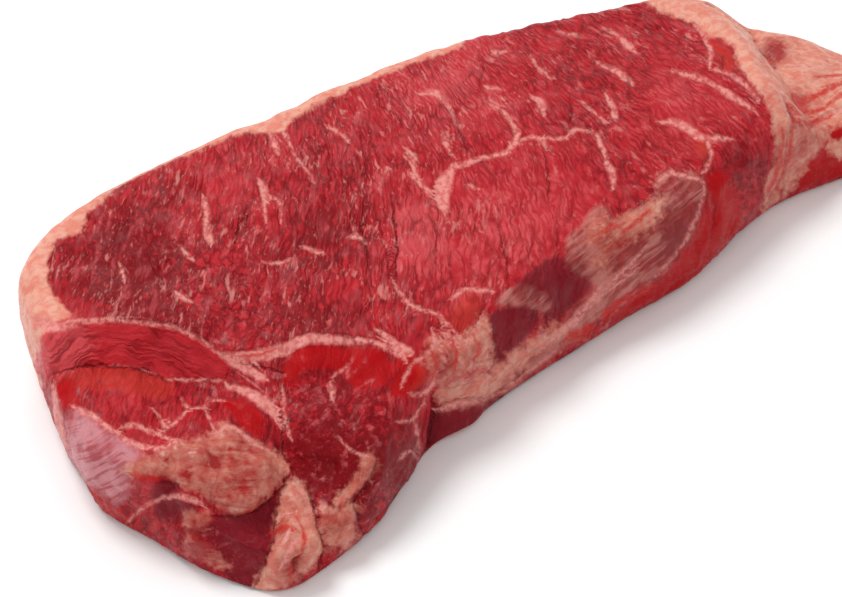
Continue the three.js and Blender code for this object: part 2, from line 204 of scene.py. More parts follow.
# Thin lines of fat: picture points with the line's half width.
FAT_LINES = {
    "main seam": [
        (546, 146, 1.5), (541, 138, 2), (524, 138, 1.6), (513, 144, 3), (504, 152, 2.4), (484, 156, 2.2),
        (470, 162, 2.4), (456, 166, 3),
    ],
    "main seam, left": [(429, 192, 3), (420, 182, 2.4), (410, 173, 1.6)],
    "blob of the main seam": [(452, 168, 3), (447, 178, 7), (441, 190, 10), (443, 202, 6), (446, 215, 2)],
    "main seam, branch": [(513, 144, 3), (518, 135, 3), (513, 124, 2.4), (504, 113, 2), (494, 105, 1.2)],
    "main seam, right": [(546, 138, 1.6), (566, 137, 1.6), (575, 128, 1.4), (586, 132, 1)],
    "beside the seam": [(594, 131, 1.4), (601, 144, 2.4), (606, 158, 1.8)],
    "below the seam": [(606, 162, 2.4), (612, 172, 3.2), (613, 186, 2)],
    "short, upper": [(607, 95, 2), (613, 108, 3.4), (615, 118, 1.8)],
    "upper right": [(597, 61, 1.2), (614, 69, 2.4), (623, 76, 3.6), (632, 83, 1.6)],
    "top right": [(603, 27, 1.4), (617, 35, 2), (627, 43, 4), (635, 49, 1.6)],
    "band lobe": [(695, 26, 1.4), (704, 36, 2.4), (710, 50, 3), (709, 66, 2)],
    "edge of the skin": [
        (74, 407, 1.6), (88, 414, 2.6), (103, 424, 2.6), (120, 436, 2.4), (137, 446, 2.8),
        (160, 450, 2.2), (178, 447, 1.4),
    ],
    "lip over the dark patches": [(450, 297, 1.2), (462, 291, 2), (478, 290, 2), (492, 291, 1.2)],
    "fan, left": [(432, 330, 1.2), (436, 346, 2.2), (444, 362, 1.6)],
    "fan, middle": [(442, 330, 1.2), (450, 346, 2), (460, 360, 1.4)],
    "fan, right": [(484, 312, 1.2), (474, 332, 1.8), (462, 348, 1.4)],
    "second ridge of the scar": [
        (572, 326, 0.8), (586, 311, 1.2), (601, 297, 1.3), (620, 282, 1.2), (638, 268, 0.8),
    ],
    "top of the scar": [(659, 180, 1.4), (668, 173, 2.2), (680, 175, 2.2), (692, 177, 2), (702, 181, 1.6)],
    "end seam": [
        (672, 70, 1.6), (690, 74, 2.4), (704, 80, 2.2), (719, 88, 2.6), (736, 99, 3.2), (753, 109, 2),
    ],
    "end seam, upper": [(714, 70, 1.8), (732, 75, 1.8), (746, 86, 2), (758, 100, 1.6)],
    "second seam": [(659, 121, 1.6), (676, 121, 3.4), (690, 130, 4), (703, 138, 3), (730, 139, 1.6)],
    "second seam, down": [(707, 139, 2), (711, 157, 2), (704, 171, 1.6)],
    "node": [(532, 95, 1.4), (540, 101, 4.6), (544, 113, 1.6)],
    "left of the node": [(487, 86, 1.6), (500, 89, 1.6)],
    "pale patch": [(420, 92, 1.8), (434, 93, 3), (448, 104, 2), (456, 122, 1)],
    "small, top": [(493, 52, 1.8), (508, 52, 1.2)],
    "faint, top": [(531, 56, 1), (538, 68, 1.4), (553, 77, 1)],
    "faint, middle": [(580, 101, 1), (597, 113, 1.4), (607, 122, 1)],
    "faint, far": [(557, 31, 1), (582, 37, 1.3)],
    "by the blob": [(468, 186, 1.4), (477, 189, 1.2)],
    "left of the blob": [(442, 135, 1.2), (446, 147, 2), (453, 156, 1)],
    "far left": [(406, 157, 1.2), (414, 168, 2.2), (418, 177, 1.4)],
    "fine line": [(284, 133, 1.6), (296, 155, 1.1), (306, 168, 1.2), (314, 180, 1.4)],
    "streak": [(260, 182, 3), (265, 193, 4), (264, 206, 2), (266, 220, 1.4)],
    "streak, right": [(268, 196, 2), (279, 200, 1.6), (281, 210, 1.8), (281, 220, 1.2)],
    "second streak": [(203, 196, 2), (206, 208, 3), (206, 225, 3), (210, 241, 3.8)],
    "small, centre": [(302, 245, 1.2), (320, 250, 2)],
    "small, left": [(264, 261, 1), (278, 262, 1.4), (291, 258, 1)],
    "dot": [(351, 235, 2), (357, 233, 3), (364, 238, 1.6)],
    "membrane edge": [
        (393, 280, 1.4), (401, 294, 1.6), (414, 306, 2), (434, 311, 1.6), (449, 325, 1.6),
        (458, 336, 1.8),
    ],
    "membrane edge, right": [(440, 318, 1), (452, 338, 1.4), (456, 356, 1.2)],
    "far dots": [(120, 264, 1.2), (122, 272, 2.2), (124, 280, 1.2)],
    "near dots": [(181, 247, 1.2), (187, 254, 2.2), (192, 259, 1.2)],
    "left patch": [(175, 292, 1.6), (182, 297, 2.4), (190, 302, 1.4)],
    "top patch": [(271, 137, 2.4), (275, 145, 3), (277, 152, 1.4)],
    "small, rim": [(326, 125, 1), (337, 132, 1.6), (348, 141, 1.2)],
    "twin": [(404, 148, 1), (411, 154, 2.2), (417, 161, 1.2)],
    "twin, right": [(443, 134, 1.4), (447, 142, 2), (450, 150, 1.2)],
    "cells, top": [(182, 400, 1.6), (188, 408, 2), (205, 408, 2), (208, 399, 1.6), (223, 401, 1.2)],
    "cells, left": [(188, 408, 1.6), (179, 420, 1.8), (164, 429, 2)],
    "cells, right": [(205, 408, 1.8), (211, 425, 1.6), (217, 433, 1.8)],
    "cells, foot": [(122, 427, 1.4), (135, 425, 1.8), (150, 432, 2), (164, 437, 2.2), (182, 446, 2)],
    "cells, far": [(152, 411, 1.2), (162, 421, 1.6), (164, 430, 1.8)],
    "edge of the cap lobe": [(169, 379, 1.2), (185, 380, 1.2), (205, 379, 1), (224, 381, 1.4)],
    "band of the crest": [
        (222, 355, 3), (243, 356, 4), (264, 355, 5.5), (283, 350, 5.5), (300, 343, 5), (318, 340, 4.5),
        (337, 342, 4), (352, 342, 2.6), (364, 342, 2.2), (376, 344, 2.4), (390, 349, 2.8), (404, 359, 2),
    ],
    "branch of the crest": [(222, 356, 2.4), (236, 363, 4.4), (250, 371, 5), (263, 378, 3.4)],
    "wedge of the crest": [(378, 329, 2), (388, 337, 3.6), (398, 346, 4.6), (410, 353, 4)],
    "between the lobes": [
        (228, 386, 2.6), (243, 390, 4.6), (258, 398, 6), (268, 407, 6), (276, 416, 4), (280, 426, 1.6),
    ],
    "crest lip": [
        (66, 325, 3), (80, 322, 2.4), (110, 320, 2), (140, 323, 1.6), (172, 328, 1.6), (200, 340, 1.4),
        (217, 352, 1.6),
    ],
    "scar edge": [
        (703, 182, 1.4), (702, 200, 1.5), (695, 219, 1.3), (684, 240, 1), (670, 258, 0.8),
        (655, 275, 0.6),
    ],
    "scar ridge": [
        (540, 350, 0.8), (552, 338, 1.2), (564, 327, 1.5), (576, 315, 1.9), (592, 295, 1.7),
        (610, 279, 1.9), (630, 264, 1.6), (646, 247, 1),
    ],
    "under the flap": [(560, 350, 1.4), (530, 372, 1.6), (500, 394, 1.8), (462, 406, 2.2), (440, 412, 2.4)],
    "lobe, right": [(424, 403, 0.8), (419, 412, 1.2), (412, 419, 1.2), (398, 422, 0.8)],
    "lobe, right, down": [(414, 420, 0.8), (419, 434, 1.2), (421, 448, 0.8)],
    "lobe, star": [(401, 460, 0.8), (406, 454, 1.2), (414, 453, 1.2), (419, 459, 0.8)],
    "lobe, fleck": [(330, 384, 2.4), (332, 392, 3), (332, 401, 1.6)],
    "lobe, thin": [(332, 376, 0.8), (340, 371, 1.2), (349, 364, 0.8)],
    "lobe, middle": [(336, 436, 0.6), (346, 445, 1), (354, 453, 1.4), (366, 456, 1.8)],
    "lobe, left": [(282, 388, 1.4), (283, 406, 1.8), (286, 424, 1.6), (292, 440, 1)],
    "lumps, lip": [
        (212, 438, 1.2), (222, 431, 1.8), (232, 430, 2.2), (243, 437, 2.2), (256, 446, 1.8),
        (266, 451, 1),
    ],
    "column, streak": [(301, 534, 1.2), (293, 545, 2.6), (287, 556, 2.4), (280, 568, 1.4)],
    "column, edge": [(296, 486, 1), (304, 496, 1.8), (310, 512, 1.4)],
    "ball, left": [(402, 386, 1.2), (406, 374, 2), (413, 363, 2), (424, 356, 1.6), (434, 347, 1.4)],
    "ball, right": [(410, 394, 1.4), (420, 395, 2.2), (430, 388, 2), (435, 374, 1.4)],
    "notch": [
        (126, 524, 1.2), (136, 514, 1.5), (146, 506, 1.7), (158, 502, 1.9), (170, 500, 2.4),
        (182, 498, 3), (194, 501, 3.2), (204, 507, 2),
    ],
    "left wall": [(54, 384, 2), (57, 402, 4.5), (60, 424, 5), (66, 446, 3)],
    "crest lip, left": [(38, 320, 3), (50, 327, 5.5), (62, 328, 4), (76, 324, 2)],
    "crease of the tail": [(820, 120, 1), (836, 112, 1.4), (856, 104, 1)],
}

# Cracks between the bundles of fibres, gaps between muscles, and the hollows under the crest and under the
# lumps: points with the depth's share. They are sunk, and darkened with painted shade over their deep red.
CRACK_LINES = {
    "long, left": [(365, 198, 0.4), (362, 222, 0.9), (365, 242, 1), (369, 266, 0.8), (373, 284, 0.4)],
    "long, right": [(390, 188, 0.5), (394, 213, 1), (397, 242, 1.1), (396, 266, 1), (397, 282, 0.5)],
    "between": [(375, 205, 0.4), (381, 231, 0.7), (387, 254, 0.7), (390, 280, 0.4)],
    "by the blob": [(430, 214, 0.4), (437, 236, 0.7), (434, 254, 0.7), (441, 270, 0.4)],
    "left streak": [(256, 194, 0.4), (249, 213, 0.8), (243, 231, 0.8), (250, 240, 0.4)],
    "second streak": [(243, 192, 0.4), (246, 207, 0.8), (238, 225, 0.9), (235, 243, 0.7), (232, 264, 0.4)],
    "third streak": [(217, 194, 0.4), (220, 213, 0.8), (213, 229, 0.5)],
    "far left": [(138, 200, 0.4), (129, 219, 0.9), (124, 240, 0.4)],
    "far left, second": [(126, 206, 0.3), (120, 225, 0.7), (116, 240, 0.4)],
    "left, low": [(147, 254, 0.4), (155, 268, 0.8), (165, 283, 0.4)],
    "eye, low": [(498, 206, 0.4), (501, 238, 0.8), (507, 262, 0.7), (508, 288, 0.4)],
    "eye, right": [(545, 148, 0.5), (548, 180, 0.9), (549, 200, 0.5)],
    "eye, low left": [(451, 248, 0.4), (450, 268, 0.7), (453, 288, 0.4)],
    "eye, far": [(557, 222, 0.4), (558, 248, 0.7), (553, 262, 0.4)],
    "seam, upper": [(438, 96, 0.3), (452, 112, 0.8), (460, 130, 0.9), (468, 150, 0.6)],
    "top, middle": [(570, 100, 0.4), (572, 114, 0.8), (568, 126, 0.4)],
    "foot of the crest": [
        (52, 374, 0.5), (66, 370, 0.9), (86, 365, 1), (117, 365, 1), (147, 369, 1), (166, 379, 0.6),
    ],
    "under the lumps": [
        (214, 517, 0.8), (234, 517, 1.3), (252, 514, 1.4), (268, 503, 1.4), (279, 491, 1.3),
        (288, 478, 0.8),
    ],
    "column, left": [(284, 484, 0.9), (279, 505, 1.2), (274, 535, 1), (265, 562, 1), (255, 586, 0.8)],
    "column, right": [(308, 488, 0.7), (313, 505, 1.2), (320, 528, 1.4), (327, 548, 1.2), (322, 566, 0.8)],
    "column, hole": [(302, 556, 0.8), (297, 564, 1.2), (294, 572, 0.8)],
    "fold": [(434, 396, 0.9), (435, 414, 1.3), (433, 436, 1.4), (428, 460, 1)],
    "over the flap": [(436, 412, 1), (458, 402, 1.1), (480, 400, 0.9), (500, 396, 0.5)],
    "bone lobe, strip": [
        (380, 456, 0.4), (372, 480, 0.8), (356, 502, 0.9), (362, 524, 0.9), (366, 544, 0.5),
    ],
    "first notch": [(158, 478, 0.5), (170, 492, 0.6), (154, 502, 0.5)],
    "second notch": [(186, 530, 0.7), (200, 534, 1), (212, 532, 0.7)],
    "crease of the tail": [
        (750, 26, 0.8), (756, 44, 1), (768, 62, 1.1), (778, 80, 1), (787, 96, 0.8), (793, 122, 0.5),
    ],
    "band of the tail": [(772, 196, 0.6), (784, 176, 0.7), (786, 150, 0.6), (790, 128, 0.4)],
    "end wall": [(713, 196, 0.3), (716, 216, 0.6), (712, 236, 0.4)],
    "lobe, upper": [(300, 398, 0.4), (288, 418, 0.8), (282, 440, 0.9), (288, 462, 0.7)],
    "crest, under": [(240, 364, 0.5), (262, 366, 0.9), (282, 372, 0.7)],
    "dark patches": [(548, 326, 0.4), (544, 312, 0.7), (548, 300, 0.5)],
    "lumps, upright": [
        (225, 446, 0.15), (222, 462, 0.35), (217, 478, 0.3), (211, 494, 0.4), (214, 510, 0.6),
    ],
    "lumps, level": [(222, 486, 0.15), (240, 490, 0.3), (258, 484, 0.15)],
    "lumps, left": [(166, 456, 0.15), (168, 468, 0.3), (160, 476, 0.2)],
    "fold, upright": [(470, 358, 0.4), (480, 363, 0.7), (492, 360, 0.4)],
    "fold, level": [(446, 389, 0.3), (458, 387, 0.6), (474, 383, 0.3)],
}

# Raised lips and ridges.
RIDGE_LINES = {
    "crest": [
        (48, 342, 0.6), (60, 328, 1), (80, 321, 1), (112, 318, 1), (160, 323, 0.9), (200, 336, 0.9),
        (226, 350, 0.8), (262, 350, 0.7), (296, 341, 0.9), (346, 337, 0.9), (388, 346, 0.8),
        (412, 362, 0.6),
    ],
    "ridge of the cap lobe": [
        (76, 410, 0.8), (100, 425, 1), (126, 441, 1), (152, 451, 0.9), (178, 446, 0.6),
    ],
    "scar": [
        (540, 350, 0.4), (552, 338, 0.7), (576, 315, 1), (592, 295, 1.1), (610, 279, 1.1),
        (630, 264, 0.9), (646, 247, 0.4),
    ],
    "edge of the scar": [
        (702, 182, 0.6), (700, 206, 0.8), (684, 242, 0.9), (658, 274, 0.8), (632, 292, 0.5),
    ],
    "band of the tail": [(700, 14, 0.5), (734, 38, 0.7), (762, 84, 0.7), (780, 120, 0.6)],
    "left wall": [(64, 388, 0.6), (66, 412, 0.7), (70, 440, 0.6)],
}

# Broad patches that are lighter (positive) or darker than the rest: place, reach and amount. The left end
# of the striped muscle, on its ridge, is lightened as a painted highlight.
TONE_SPOTS = {
    "scar, top": (678, 206, 20, -0.3), "scar, middle": (676, 236, 16, -0.5),
    "scar, between": (524, 297, 18, -0.7), "scar, ridge": (596, 292, 16, 0.8),
    "scar, left": (572, 246, 16, -0.2), "scar, low": (470, 392, 30, 0.6),
    "scar, right": (560, 340, 22, 0.5), "painted highlight, striped, left": (56, 344, 30, 2.6),
    "striped, right": (176, 354, 34, -0.9), "right of the cracks": (416, 225, 30, 1.2),
    "right of the cracks, low": (424, 262, 26, 0.6), "eye, right": (500, 215, 60, 0.35),
    "eye, far right": (575, 195, 45, 0.25), "pinkish left": (230, 165, 50, 0.35),
    "dark middle": (330, 215, 42, -0.5), "dark low middle": (300, 318, 50, -0.45),
    "dark left": (100, 262, 44, -0.25), "top": (460, 84, 60, 0.8),
    "above the seam": (470, 130, 30, -0.3), "end": (734, 156, 26, -0.25),
    "end low": (750, 176, 30, -0.25), "left": (130, 245, 60, -0.3), "left, low": (150, 300, 50, -0.6),
    "streaks, left": (232, 210, 26, -0.15), "bone lobe": (340, 430, 60, -0.5),
    "bone lobe, low": (330, 480, 40, -0.5), "bone lobe, right": (395, 470, 44, -0.5),
    "low left wall": (100, 505, 40, -0.2), "wall of the bone side": (680, 270, 40, -0.3),
    "wall, far": (720, 220, 30, -0.2), "far": (620, 60, 60, -0.1), "far, low": (680, 105, 40, 0.45),
    "low right": (620, 170, 30, -0.2), "chine": (520, 240, 60, 0.3),
}

# Rings of fat whose edges are blurred more than the rim's, and how many times more.
FAT_BLUR = {
    "lumps": 3.0, "column": 2.2, "strip of the bone lobe": 2.6, "foot of the bone lobe": 3.2,
    "foot below the lumps": 2.6, "fold of the bone side": 3.4, "foot of the bone side": 3.6,
    "streaks of the skin": 3.4, "foot of the tail": 2.4, "end of the tail": 2.6, "tail": 2.0,
    "band of the tail": 1.5, "rim of the chine end": 1.6, "rim over the eye": 1.2,
}

# The muscle that is cut along its fibres under the crest.
STRIPED_RINGS = {
    "under the crest": [
        (42, 352), (56, 334), (76, 324), (110, 322), (160, 326), (205, 343), (228, 362), (222, 377),
        (176, 378), (147, 371), (117, 366), (82, 367), (50, 374),
    ],
}

# Smooth places, without films and flecks: place, reach and amount.
CALM_SPOTS = {
    "cap lobe": (130, 400, 56, 0.9), "cells": (210, 418, 36, 0.9), "low left": (110, 500, 50, 1.2),
    "bone side": (690, 262, 44, 1.2), "crest of the bone lobe": (340, 362, 34, 1.2),
    "bone lobe, right": (405, 440, 44, 1.2), "low middle": (220, 550, 50, 1.2),
    "end": (745, 185, 34, 1.2), "end, low": (720, 215, 30, 1.2), "tail": (826, 165, 40, 1.2),
    "dark middle": (330, 212, 24, 0.8), "fold": (440, 360, 40, 1.0), "flap": (460, 425, 30, 1.0),
    "chine": (520, 215, 70, 0.5), "far": (690, 100, 46, 0.6), "far, top": (600, 60, 60, 0.45),
    "beside the scar": (600, 170, 50, 0.4),
}

# Torn flesh, mottled with scraps of film.
MOTTLED_RINGS = {
    "bone lobe": [
        (286, 392), (296, 374), (322, 372), (336, 388), (352, 392), (372, 392), (388, 404), (388, 440),
        (366, 462), (360, 500), (340, 530), (334, 556), (324, 530), (312, 488), (290, 470), (282, 430),
    ],
    "foot of the lumps": [(176, 516), (214, 520), (236, 560), (240, 590), (196, 570), (150, 544)],
}

# The scar that the bone left: a brownish skin in streaks.
SCAR_RINGS = {
    "between the dark patches": [
        (496, 303), (506, 290), (520, 285), (536, 288), (552, 298), (548, 314), (532, 307), (512, 306),
    ],
    "scar": [
        (530, 346), (545, 340), (565, 318), (580, 302), (594, 288), (586, 276), (574, 272), (566, 258),
        (566, 240), (574, 232), (583, 226), (588, 214), (600, 206), (608, 208), (612, 220), (622, 216),
        (640, 206), (652, 198), (658, 190), (657, 176), (664, 171), (674, 169), (684, 173), (694, 172),
        (704, 176), (705, 190), (700, 210), (692, 228), (684, 244), (672, 260), (660, 274), (645, 284),
        (630, 290), (620, 300), (606, 310), (600, 318), (590, 326), (575, 340), (556, 356), (530, 376),
        (498, 398), (470, 408), (440, 408), (444, 388), (498, 369), (513, 355),
    ],
}

# Red lines over the fat: picture points with the line's half width.
RED_LINES = {
    "tail, upper": [(787, 97, 2), (797, 101, 3.4), (808, 100, 3), (824, 93, 2.6), (846, 82, 2)],
    "tail, middle": [(789, 103, 2), (797, 110, 3), (808, 113, 2.6), (822, 109, 2.2), (846, 92, 2)],
    "tail, lower": [(798, 118, 1.2), (808, 121, 1.8), (820, 121, 1.4), (832, 116, 1.2)],
    "tail, top": [(816, 80, 1), (828, 77, 1.4), (848, 76, 1.6)],
    "tail, top right": [(822, 88, 1), (832, 86, 1.6), (850, 84, 1.6)],
    "band, foot": [(781, 130, 1), (783, 147, 1.6), (777, 170, 1.8), (768, 194, 1.6)],
    "band, edge": [(793, 120, 1), (791, 141, 1.4), (787, 165, 1.6), (778, 190, 1.2)],
    "band, lobe": [(711, 42, 2), (720, 50, 3.6), (729, 58, 4), (728, 66, 2.4)],
    "tail, left": [(787, 94, 3), (794, 100, 6), (801, 107, 5), (806, 113, 2)],
    "lumps, left": [(132, 474, 2), (150, 478, 2.6), (166, 482, 2)],
    "column, spot": [(272, 532, 2), (282, 528, 3.6), (291, 532, 1.6)],
    "column, middle": [(298, 520, 1), (304, 534, 1.8), (302, 548, 1.6)],
    "column, foot": [(300, 556, 2), (294, 566, 3), (291, 576, 1.4)],
    "fold, left": [(414, 366, 2), (420, 376, 3.2), (412, 388, 2.4)],
    "fold, right": [(432, 352, 1), (436, 366, 2), (430, 380, 1.4)],
    "fold, middle": [(452, 344, 1), (456, 356, 2.2), (452, 370, 1.6)],
    "fold, far": [(474, 336, 1), (478, 350, 1.6), (474, 364, 1.2)],
    "scar, spot": [(568, 340, 3), (578, 332, 4.4), (590, 326, 2.6)],
    "scar, second": [(602, 314, 2), (612, 305, 3), (624, 298, 2)],
    "scar, third": [(628, 298, 1.6), (640, 292, 2.2), (652, 284, 1.6)],
    "streaks, left": [(596, 236, 1), (606, 230, 2), (614, 224, 1.2)],
    "streaks, right": [(622, 232, 1), (634, 224, 2.2), (648, 212, 1.6)],
    "crest": [(240, 356, 1), (256, 356, 1.8), (274, 350, 1.2)],
}

# How much blood stains the fat: place, reach and amount. The valleys between the lumps are partly red and
# partly painted shade, and the two cream spots on the lumps are painted highlights.
STAIN_SPOTS = {
    # The first two spots lighten the tops of the lumps: painted highlight.
    "painted highlight on the lumps, right": (277, 462, 9, -0.4), "painted highlight on the lumps, low": (236, 499, 13, -0.15),
    "tail, spot": (774, 50, 11, 1.3), "tail, foot of the spot": (780, 56, 8, 0.6),
    "shaded valley 1": (214, 465, 6, 0.5), "shaded valley 2": (243, 484, 9, 0.4), "shaded valley 3": (190, 466, 6, 0.35),
    "shaded valley 4": (166, 462, 6, 0.4), "shaded valley 7": (185, 475, 7, 0.45), "shaded valley 5": (226, 450, 6, 0.4),
    "shaded valley 6": (250, 452, 5, 0.4), "lumps, right": (258, 470, 22, 0.35),
    "column, top": (298, 500, 16, 0.2), "column, foot": (286, 576, 16, 0.3),
    "lumps": (205, 470, 62, 0.62), "lumps, left": (142, 466, 22, 0.3), "lumps, top": (240, 448, 12, 0.3),
    "lumps, low": (236, 504, 20, 0.42), "column": (292, 540, 40, 0.25),
    "column, low": (296, 566, 16, 0.4), "column, spot": (281, 530, 10, 0.5),
    "foot of the bone lobe": (342, 524, 26, 0.5), "strip": (364, 474, 24, 0.6),
    "below the lumps": (204, 545, 28, 1.0), "fold": (446, 362, 34, 0.62),
    "fold, gap": (438, 373, 7, 0.55), "fold, right": (482, 346, 16, 0.2),
    "foot of the side": (500, 382, 40, 0.2), "foot of the side, right": (548, 350, 26, 0.4),
    "streaks": (612, 238, 44, 0.72), "tail, top": (812, 48, 44, 0.12), "lip": (482, 300, 24, 0.3),
    "band, low": (776, 160, 28, 0.48), "band, foot": (768, 198, 18, 0.4),
    "band, middle": (764, 108, 18, 0.3), "tail, foot": (806, 144, 24, 0.42),
    "tail": (812, 110, 20, 0.25), "between the lobes": (258, 402, 30, 0.2),
    "crest": (270, 356, 40, 0.12), "seam": (440, 192, 20, 0.12), "wedge": (398, 350, 16, 0.4),
    "red blob of the tail": (796, 102, 9, 1.1),
}

# Lumps and dips: place, reach and how far they stand out, in millimetres.
BUMP_SPOTS = {
    "lump 1": (150, 466, 12, 0.8), "lump 2": (177, 452, 12, 1.3), "lump 3": (201, 457, 11, 1.4),
    "lump 4": (222, 482, 13, 1.3), "lump 5": (264, 466, 15, 1.8), "lump 6": (243, 502, 12, 1.4),
    "lump 7": (235, 438, 9, 1.1), "lump 8": (190, 480, 9, 0.4), "dip 1": (214, 464, 6, -0.8),
    "dip 2": (243, 482, 8, -0.6), "notch 1": (166, 486, 10, -1.5), "notch 2": (170, 513, 12, -1.4),
    "recess": (236, 545, 22, -1.2), "hole": (296, 564, 6, -1.8), "column 1": (297, 498, 10, 0.9),
    "column 2": (288, 527, 9, 0.5), "column 3": (312, 542, 8, 0.8), "column 4": (274, 572, 11, 0.7),
    "foot": (350, 520, 10, 0.9), "foot, dip": (343, 490, 8, -0.7), "cell 1": (196, 421, 9, 1.3),
    "cell 2": (174, 404, 9, 1.1), "cell 3": (226, 416, 10, 1.4), "cell 4": (146, 418, 10, 1.1),
    "cell 5": (128, 390, 15, 1.0), "cell 6": (250, 424, 8, 1.0), "cell 7": (98, 400, 11, 0.9),
    "bone lobe 1": (306, 364, 13, 1.2), "bone lobe 2": (370, 366, 15, 1.3),
    "bone lobe 3": (330, 410, 14, 0.6), "bone lobe 4": (372, 410, 16, 0.7),
    "bone lobe 5": (312, 448, 14, 0.6), "bone lobe 6": (350, 446, 14, 0.5),
    "bone lobe, dip": (302, 392, 9, -0.8), "bone lobe, dip 2": (348, 388, 9, -0.6),
    "bone lobe, dip 3": (332, 470, 9, -0.8), "bone lobe, dip 4": (390, 446, 10, -0.6),
    "scar 1": (600, 228, 14, 0.7), "scar 2": (640, 216, 12, 0.6), "scar 3": (590, 254, 10, -0.4),
    "fold 1": (444, 352, 8, 0.7), "fold 2": (462, 350, 8, 0.6), "fold 3": (484, 340, 7, 0.5),
    "fold 4": (468, 312, 10, 0.7), "scrap 1": (579, 333, 8, 0.8), "scrap 2": (609, 306, 8, 0.6),
    "scrap 3": (418, 376, 9, 0.8), "dark 1": (515, 332, 18, -0.7), "dark 2": (558, 290, 20, -0.6),
    "tail spot": (775, 52, 11, -0.5), "tail 1": (800, 76, 13, 0.7), "tail 2": (826, 98, 10, -0.4),
    "bundle 1": (380, 220, 7, 0.5), "bundle 2": (406, 226, 9, 0.6), "bundle 3": (424, 244, 8, 0.5),
    "eye, dip": (330, 215, 34, -0.7), "eye, dip 2": (225, 190, 22, -0.4),
    "eye, rise": (500, 220, 34, 0.4),
}

# Where the fibres curl: place, reach and amount.
SQUIGGLE_SPOTS = {
    "low left": (110, 505, 46, 1.6), "low middle": (220, 560, 50, 1.6), "low right": (400, 500, 46, 1.6),
    "between the lobes": (256, 400, 24, 0.8), "bone side": (690, 262, 46, 1.0),
    "end": (745, 190, 30, 1.0), "tail": (826, 165, 34, 1.0), "left": (120, 262, 46, 1.2),
    "middle": (190, 292, 56, 1.4), "right": (270, 320, 36, 0.9), "upper": (230, 262, 30, 0.7),
}

# Where the surface is torn: place, reach and amount.
TORN_SPOTS = {
    "cap lobe": (120, 440, 90, 1.0), "lumps": (220, 480, 80, 1.0), "bone lobe": (350, 440, 90, 1.0),
    "bone side": (470, 350, 70, 0.9), "scar": (600, 270, 60, 0.6), "tail": (820, 110, 50, 0.7),
}


def screen(red, green, blue):
    """A colour of the screen, 0 to 255, as a shader's linear colour."""
    channels = [c / 255 for c in (red, green, blue)]
    return tuple(c / 12.92 if c <= 0.04045 else ((c + 0.055) / 1.055) ** 2.4 for c in channels) + (1,)


FLESH = screen(173, 33, 41)
FLESH_DEEP = screen(122, 14, 22)
FLESH_PALE = screen(200, 76, 80)
FLESH_STRIPED = screen(184, 38, 46)
FLESH_DARK_AND_PAINTED_SHADE = screen(100, 20, 32)
FLESH_BRIGHT = screen(168, 8, 14)
FLESH_ORANGE = screen(180, 52, 40)
FLESH_RED = screen(184, 36, 30)
# Painted shade in the grooves and cracks between bundles, darker than their deep red.
GROOVE_SHADE = screen(110, 8, 16)
CRACK_SHADE = screen(100, 8, 16)
FILM = screen(188, 82, 86)
MARBLING = screen(212, 134, 127)
SEAM_PALE = screen(216, 138, 130)
SEAM_DEEP = screen(201, 110, 105)
FAT_CREAM = screen(214, 156, 137)
FAT_SALMON = screen(210, 126, 108)
FAT_STAIN = screen(150, 26, 24)
SKIN_PALE = screen(204, 142, 148)
SKIN_DEEP = screen(168, 84, 90)
SCAR_PALE = screen(184, 112, 104)
SCAR_DEEP = screen(136, 56, 54)
SHEEN = (1.0, 0.5, 0.52, 1)
FLOOR_COLOUR = (0.92, 0.92, 0.92, 1)
WHITE = (1, 1, 1, 1)

# Relief that the node tree raises, and its noises: detail, roughness and distortion.
RELIEF = {
    "Bundle Height": 0.8 * MM, "Bundle Width": 3.0, "Bundle Length": 9.0, "Lump Height": 0.6 * MM,
    "Lump Width": 6.5, "Torn Height": 1.0 * MM, "Torn Width": 4.2, "Sway Height": 0.9 * MM,
    "Sway Width": 16.0,
}
RELIEF_NOISE = {
    "bundle": (2.0, 0.55, 0.35), "lump": (2.0, 0.5, 0.3), "torn": (2.0, 0.5, 0.6), "sway": (1.0,),
}

# The fibres of the eye lean along the steak: their slope in plan at the chine end and at the tail.
LEAN_CHINE = 0.72
LEAN_TAIL = 0.03
LEAN_FROM = -60 * MM
LEAN_TO = 70 * MM

# Brushed looks follow the crest on the left and the bone side's slant on the right.
BRUSH_TURN = math.radians(40)
BRUSH_CHANGE = 330
BRUSH_CHANGE_WIDTH = 80
BRUSH_SLOPE = 0.25

# What the camera doesn't see: the far wall is the fat cap, thinner along part of its upper edge.
# A wave is its height, its length and where it starts.
CAP_TOP = 30.5 * MM
CAP_THIN_FROM = 22 * MM
CAP_THIN_TO = 82 * MM
CAP_THIN_SLOPE = 12 * MM
CAP_THIN_BY = 15
CAP_SCALE = 3.2
CAP_EDGE = 6
CAP_WAVES = ((2.5, 11 * MM, 0), (1.8, 4.7 * MM, 1))
CAP_LIMIT = 22
CAP_STAIN = 0.06
CAP_SKIN = -10
CAP_SKIN_WAVE = (7, 17 * MM, 0.6)
CAP_SKIN_RISE_WAVE = (6, 6 * MM, 23 * MM)
UNDER_HEIGHT = 5 * MM
UNDER_NORMAL = -0.6
ABOVE_ALL = 100 * MM
SEEN_FROM = 0.03
SEEN_FULLY = 0.22
HIDDEN_WAVE = 0.07
HIDDEN_WAVE_HIGH = 2.4 * MM
HIDDEN_WAVE_LONG = 7 * MM
FAR_WAY = np.array([0.588, 0.809, 0])
FAR_SLOPE = 0.3
FIELD_LIMIT = 40
NOWHERE_NEAR = 1e6

# Light and floor.
AMBIENT = 0.78
KEY_PLACE = (-0.22, 0.42, 1.05)
KEY_SIZE = 0.45
KEY_POWER = 7.0
BACK_PLACE = (0.25, 0.9, 0.7)
BACK_SIZE = 0.4
BACK_POWER = 0.8
FLOOR_SIZE = 6
FLOOR_ROUGHNESS = 0.8
FLOOR_SHINE = 0.1

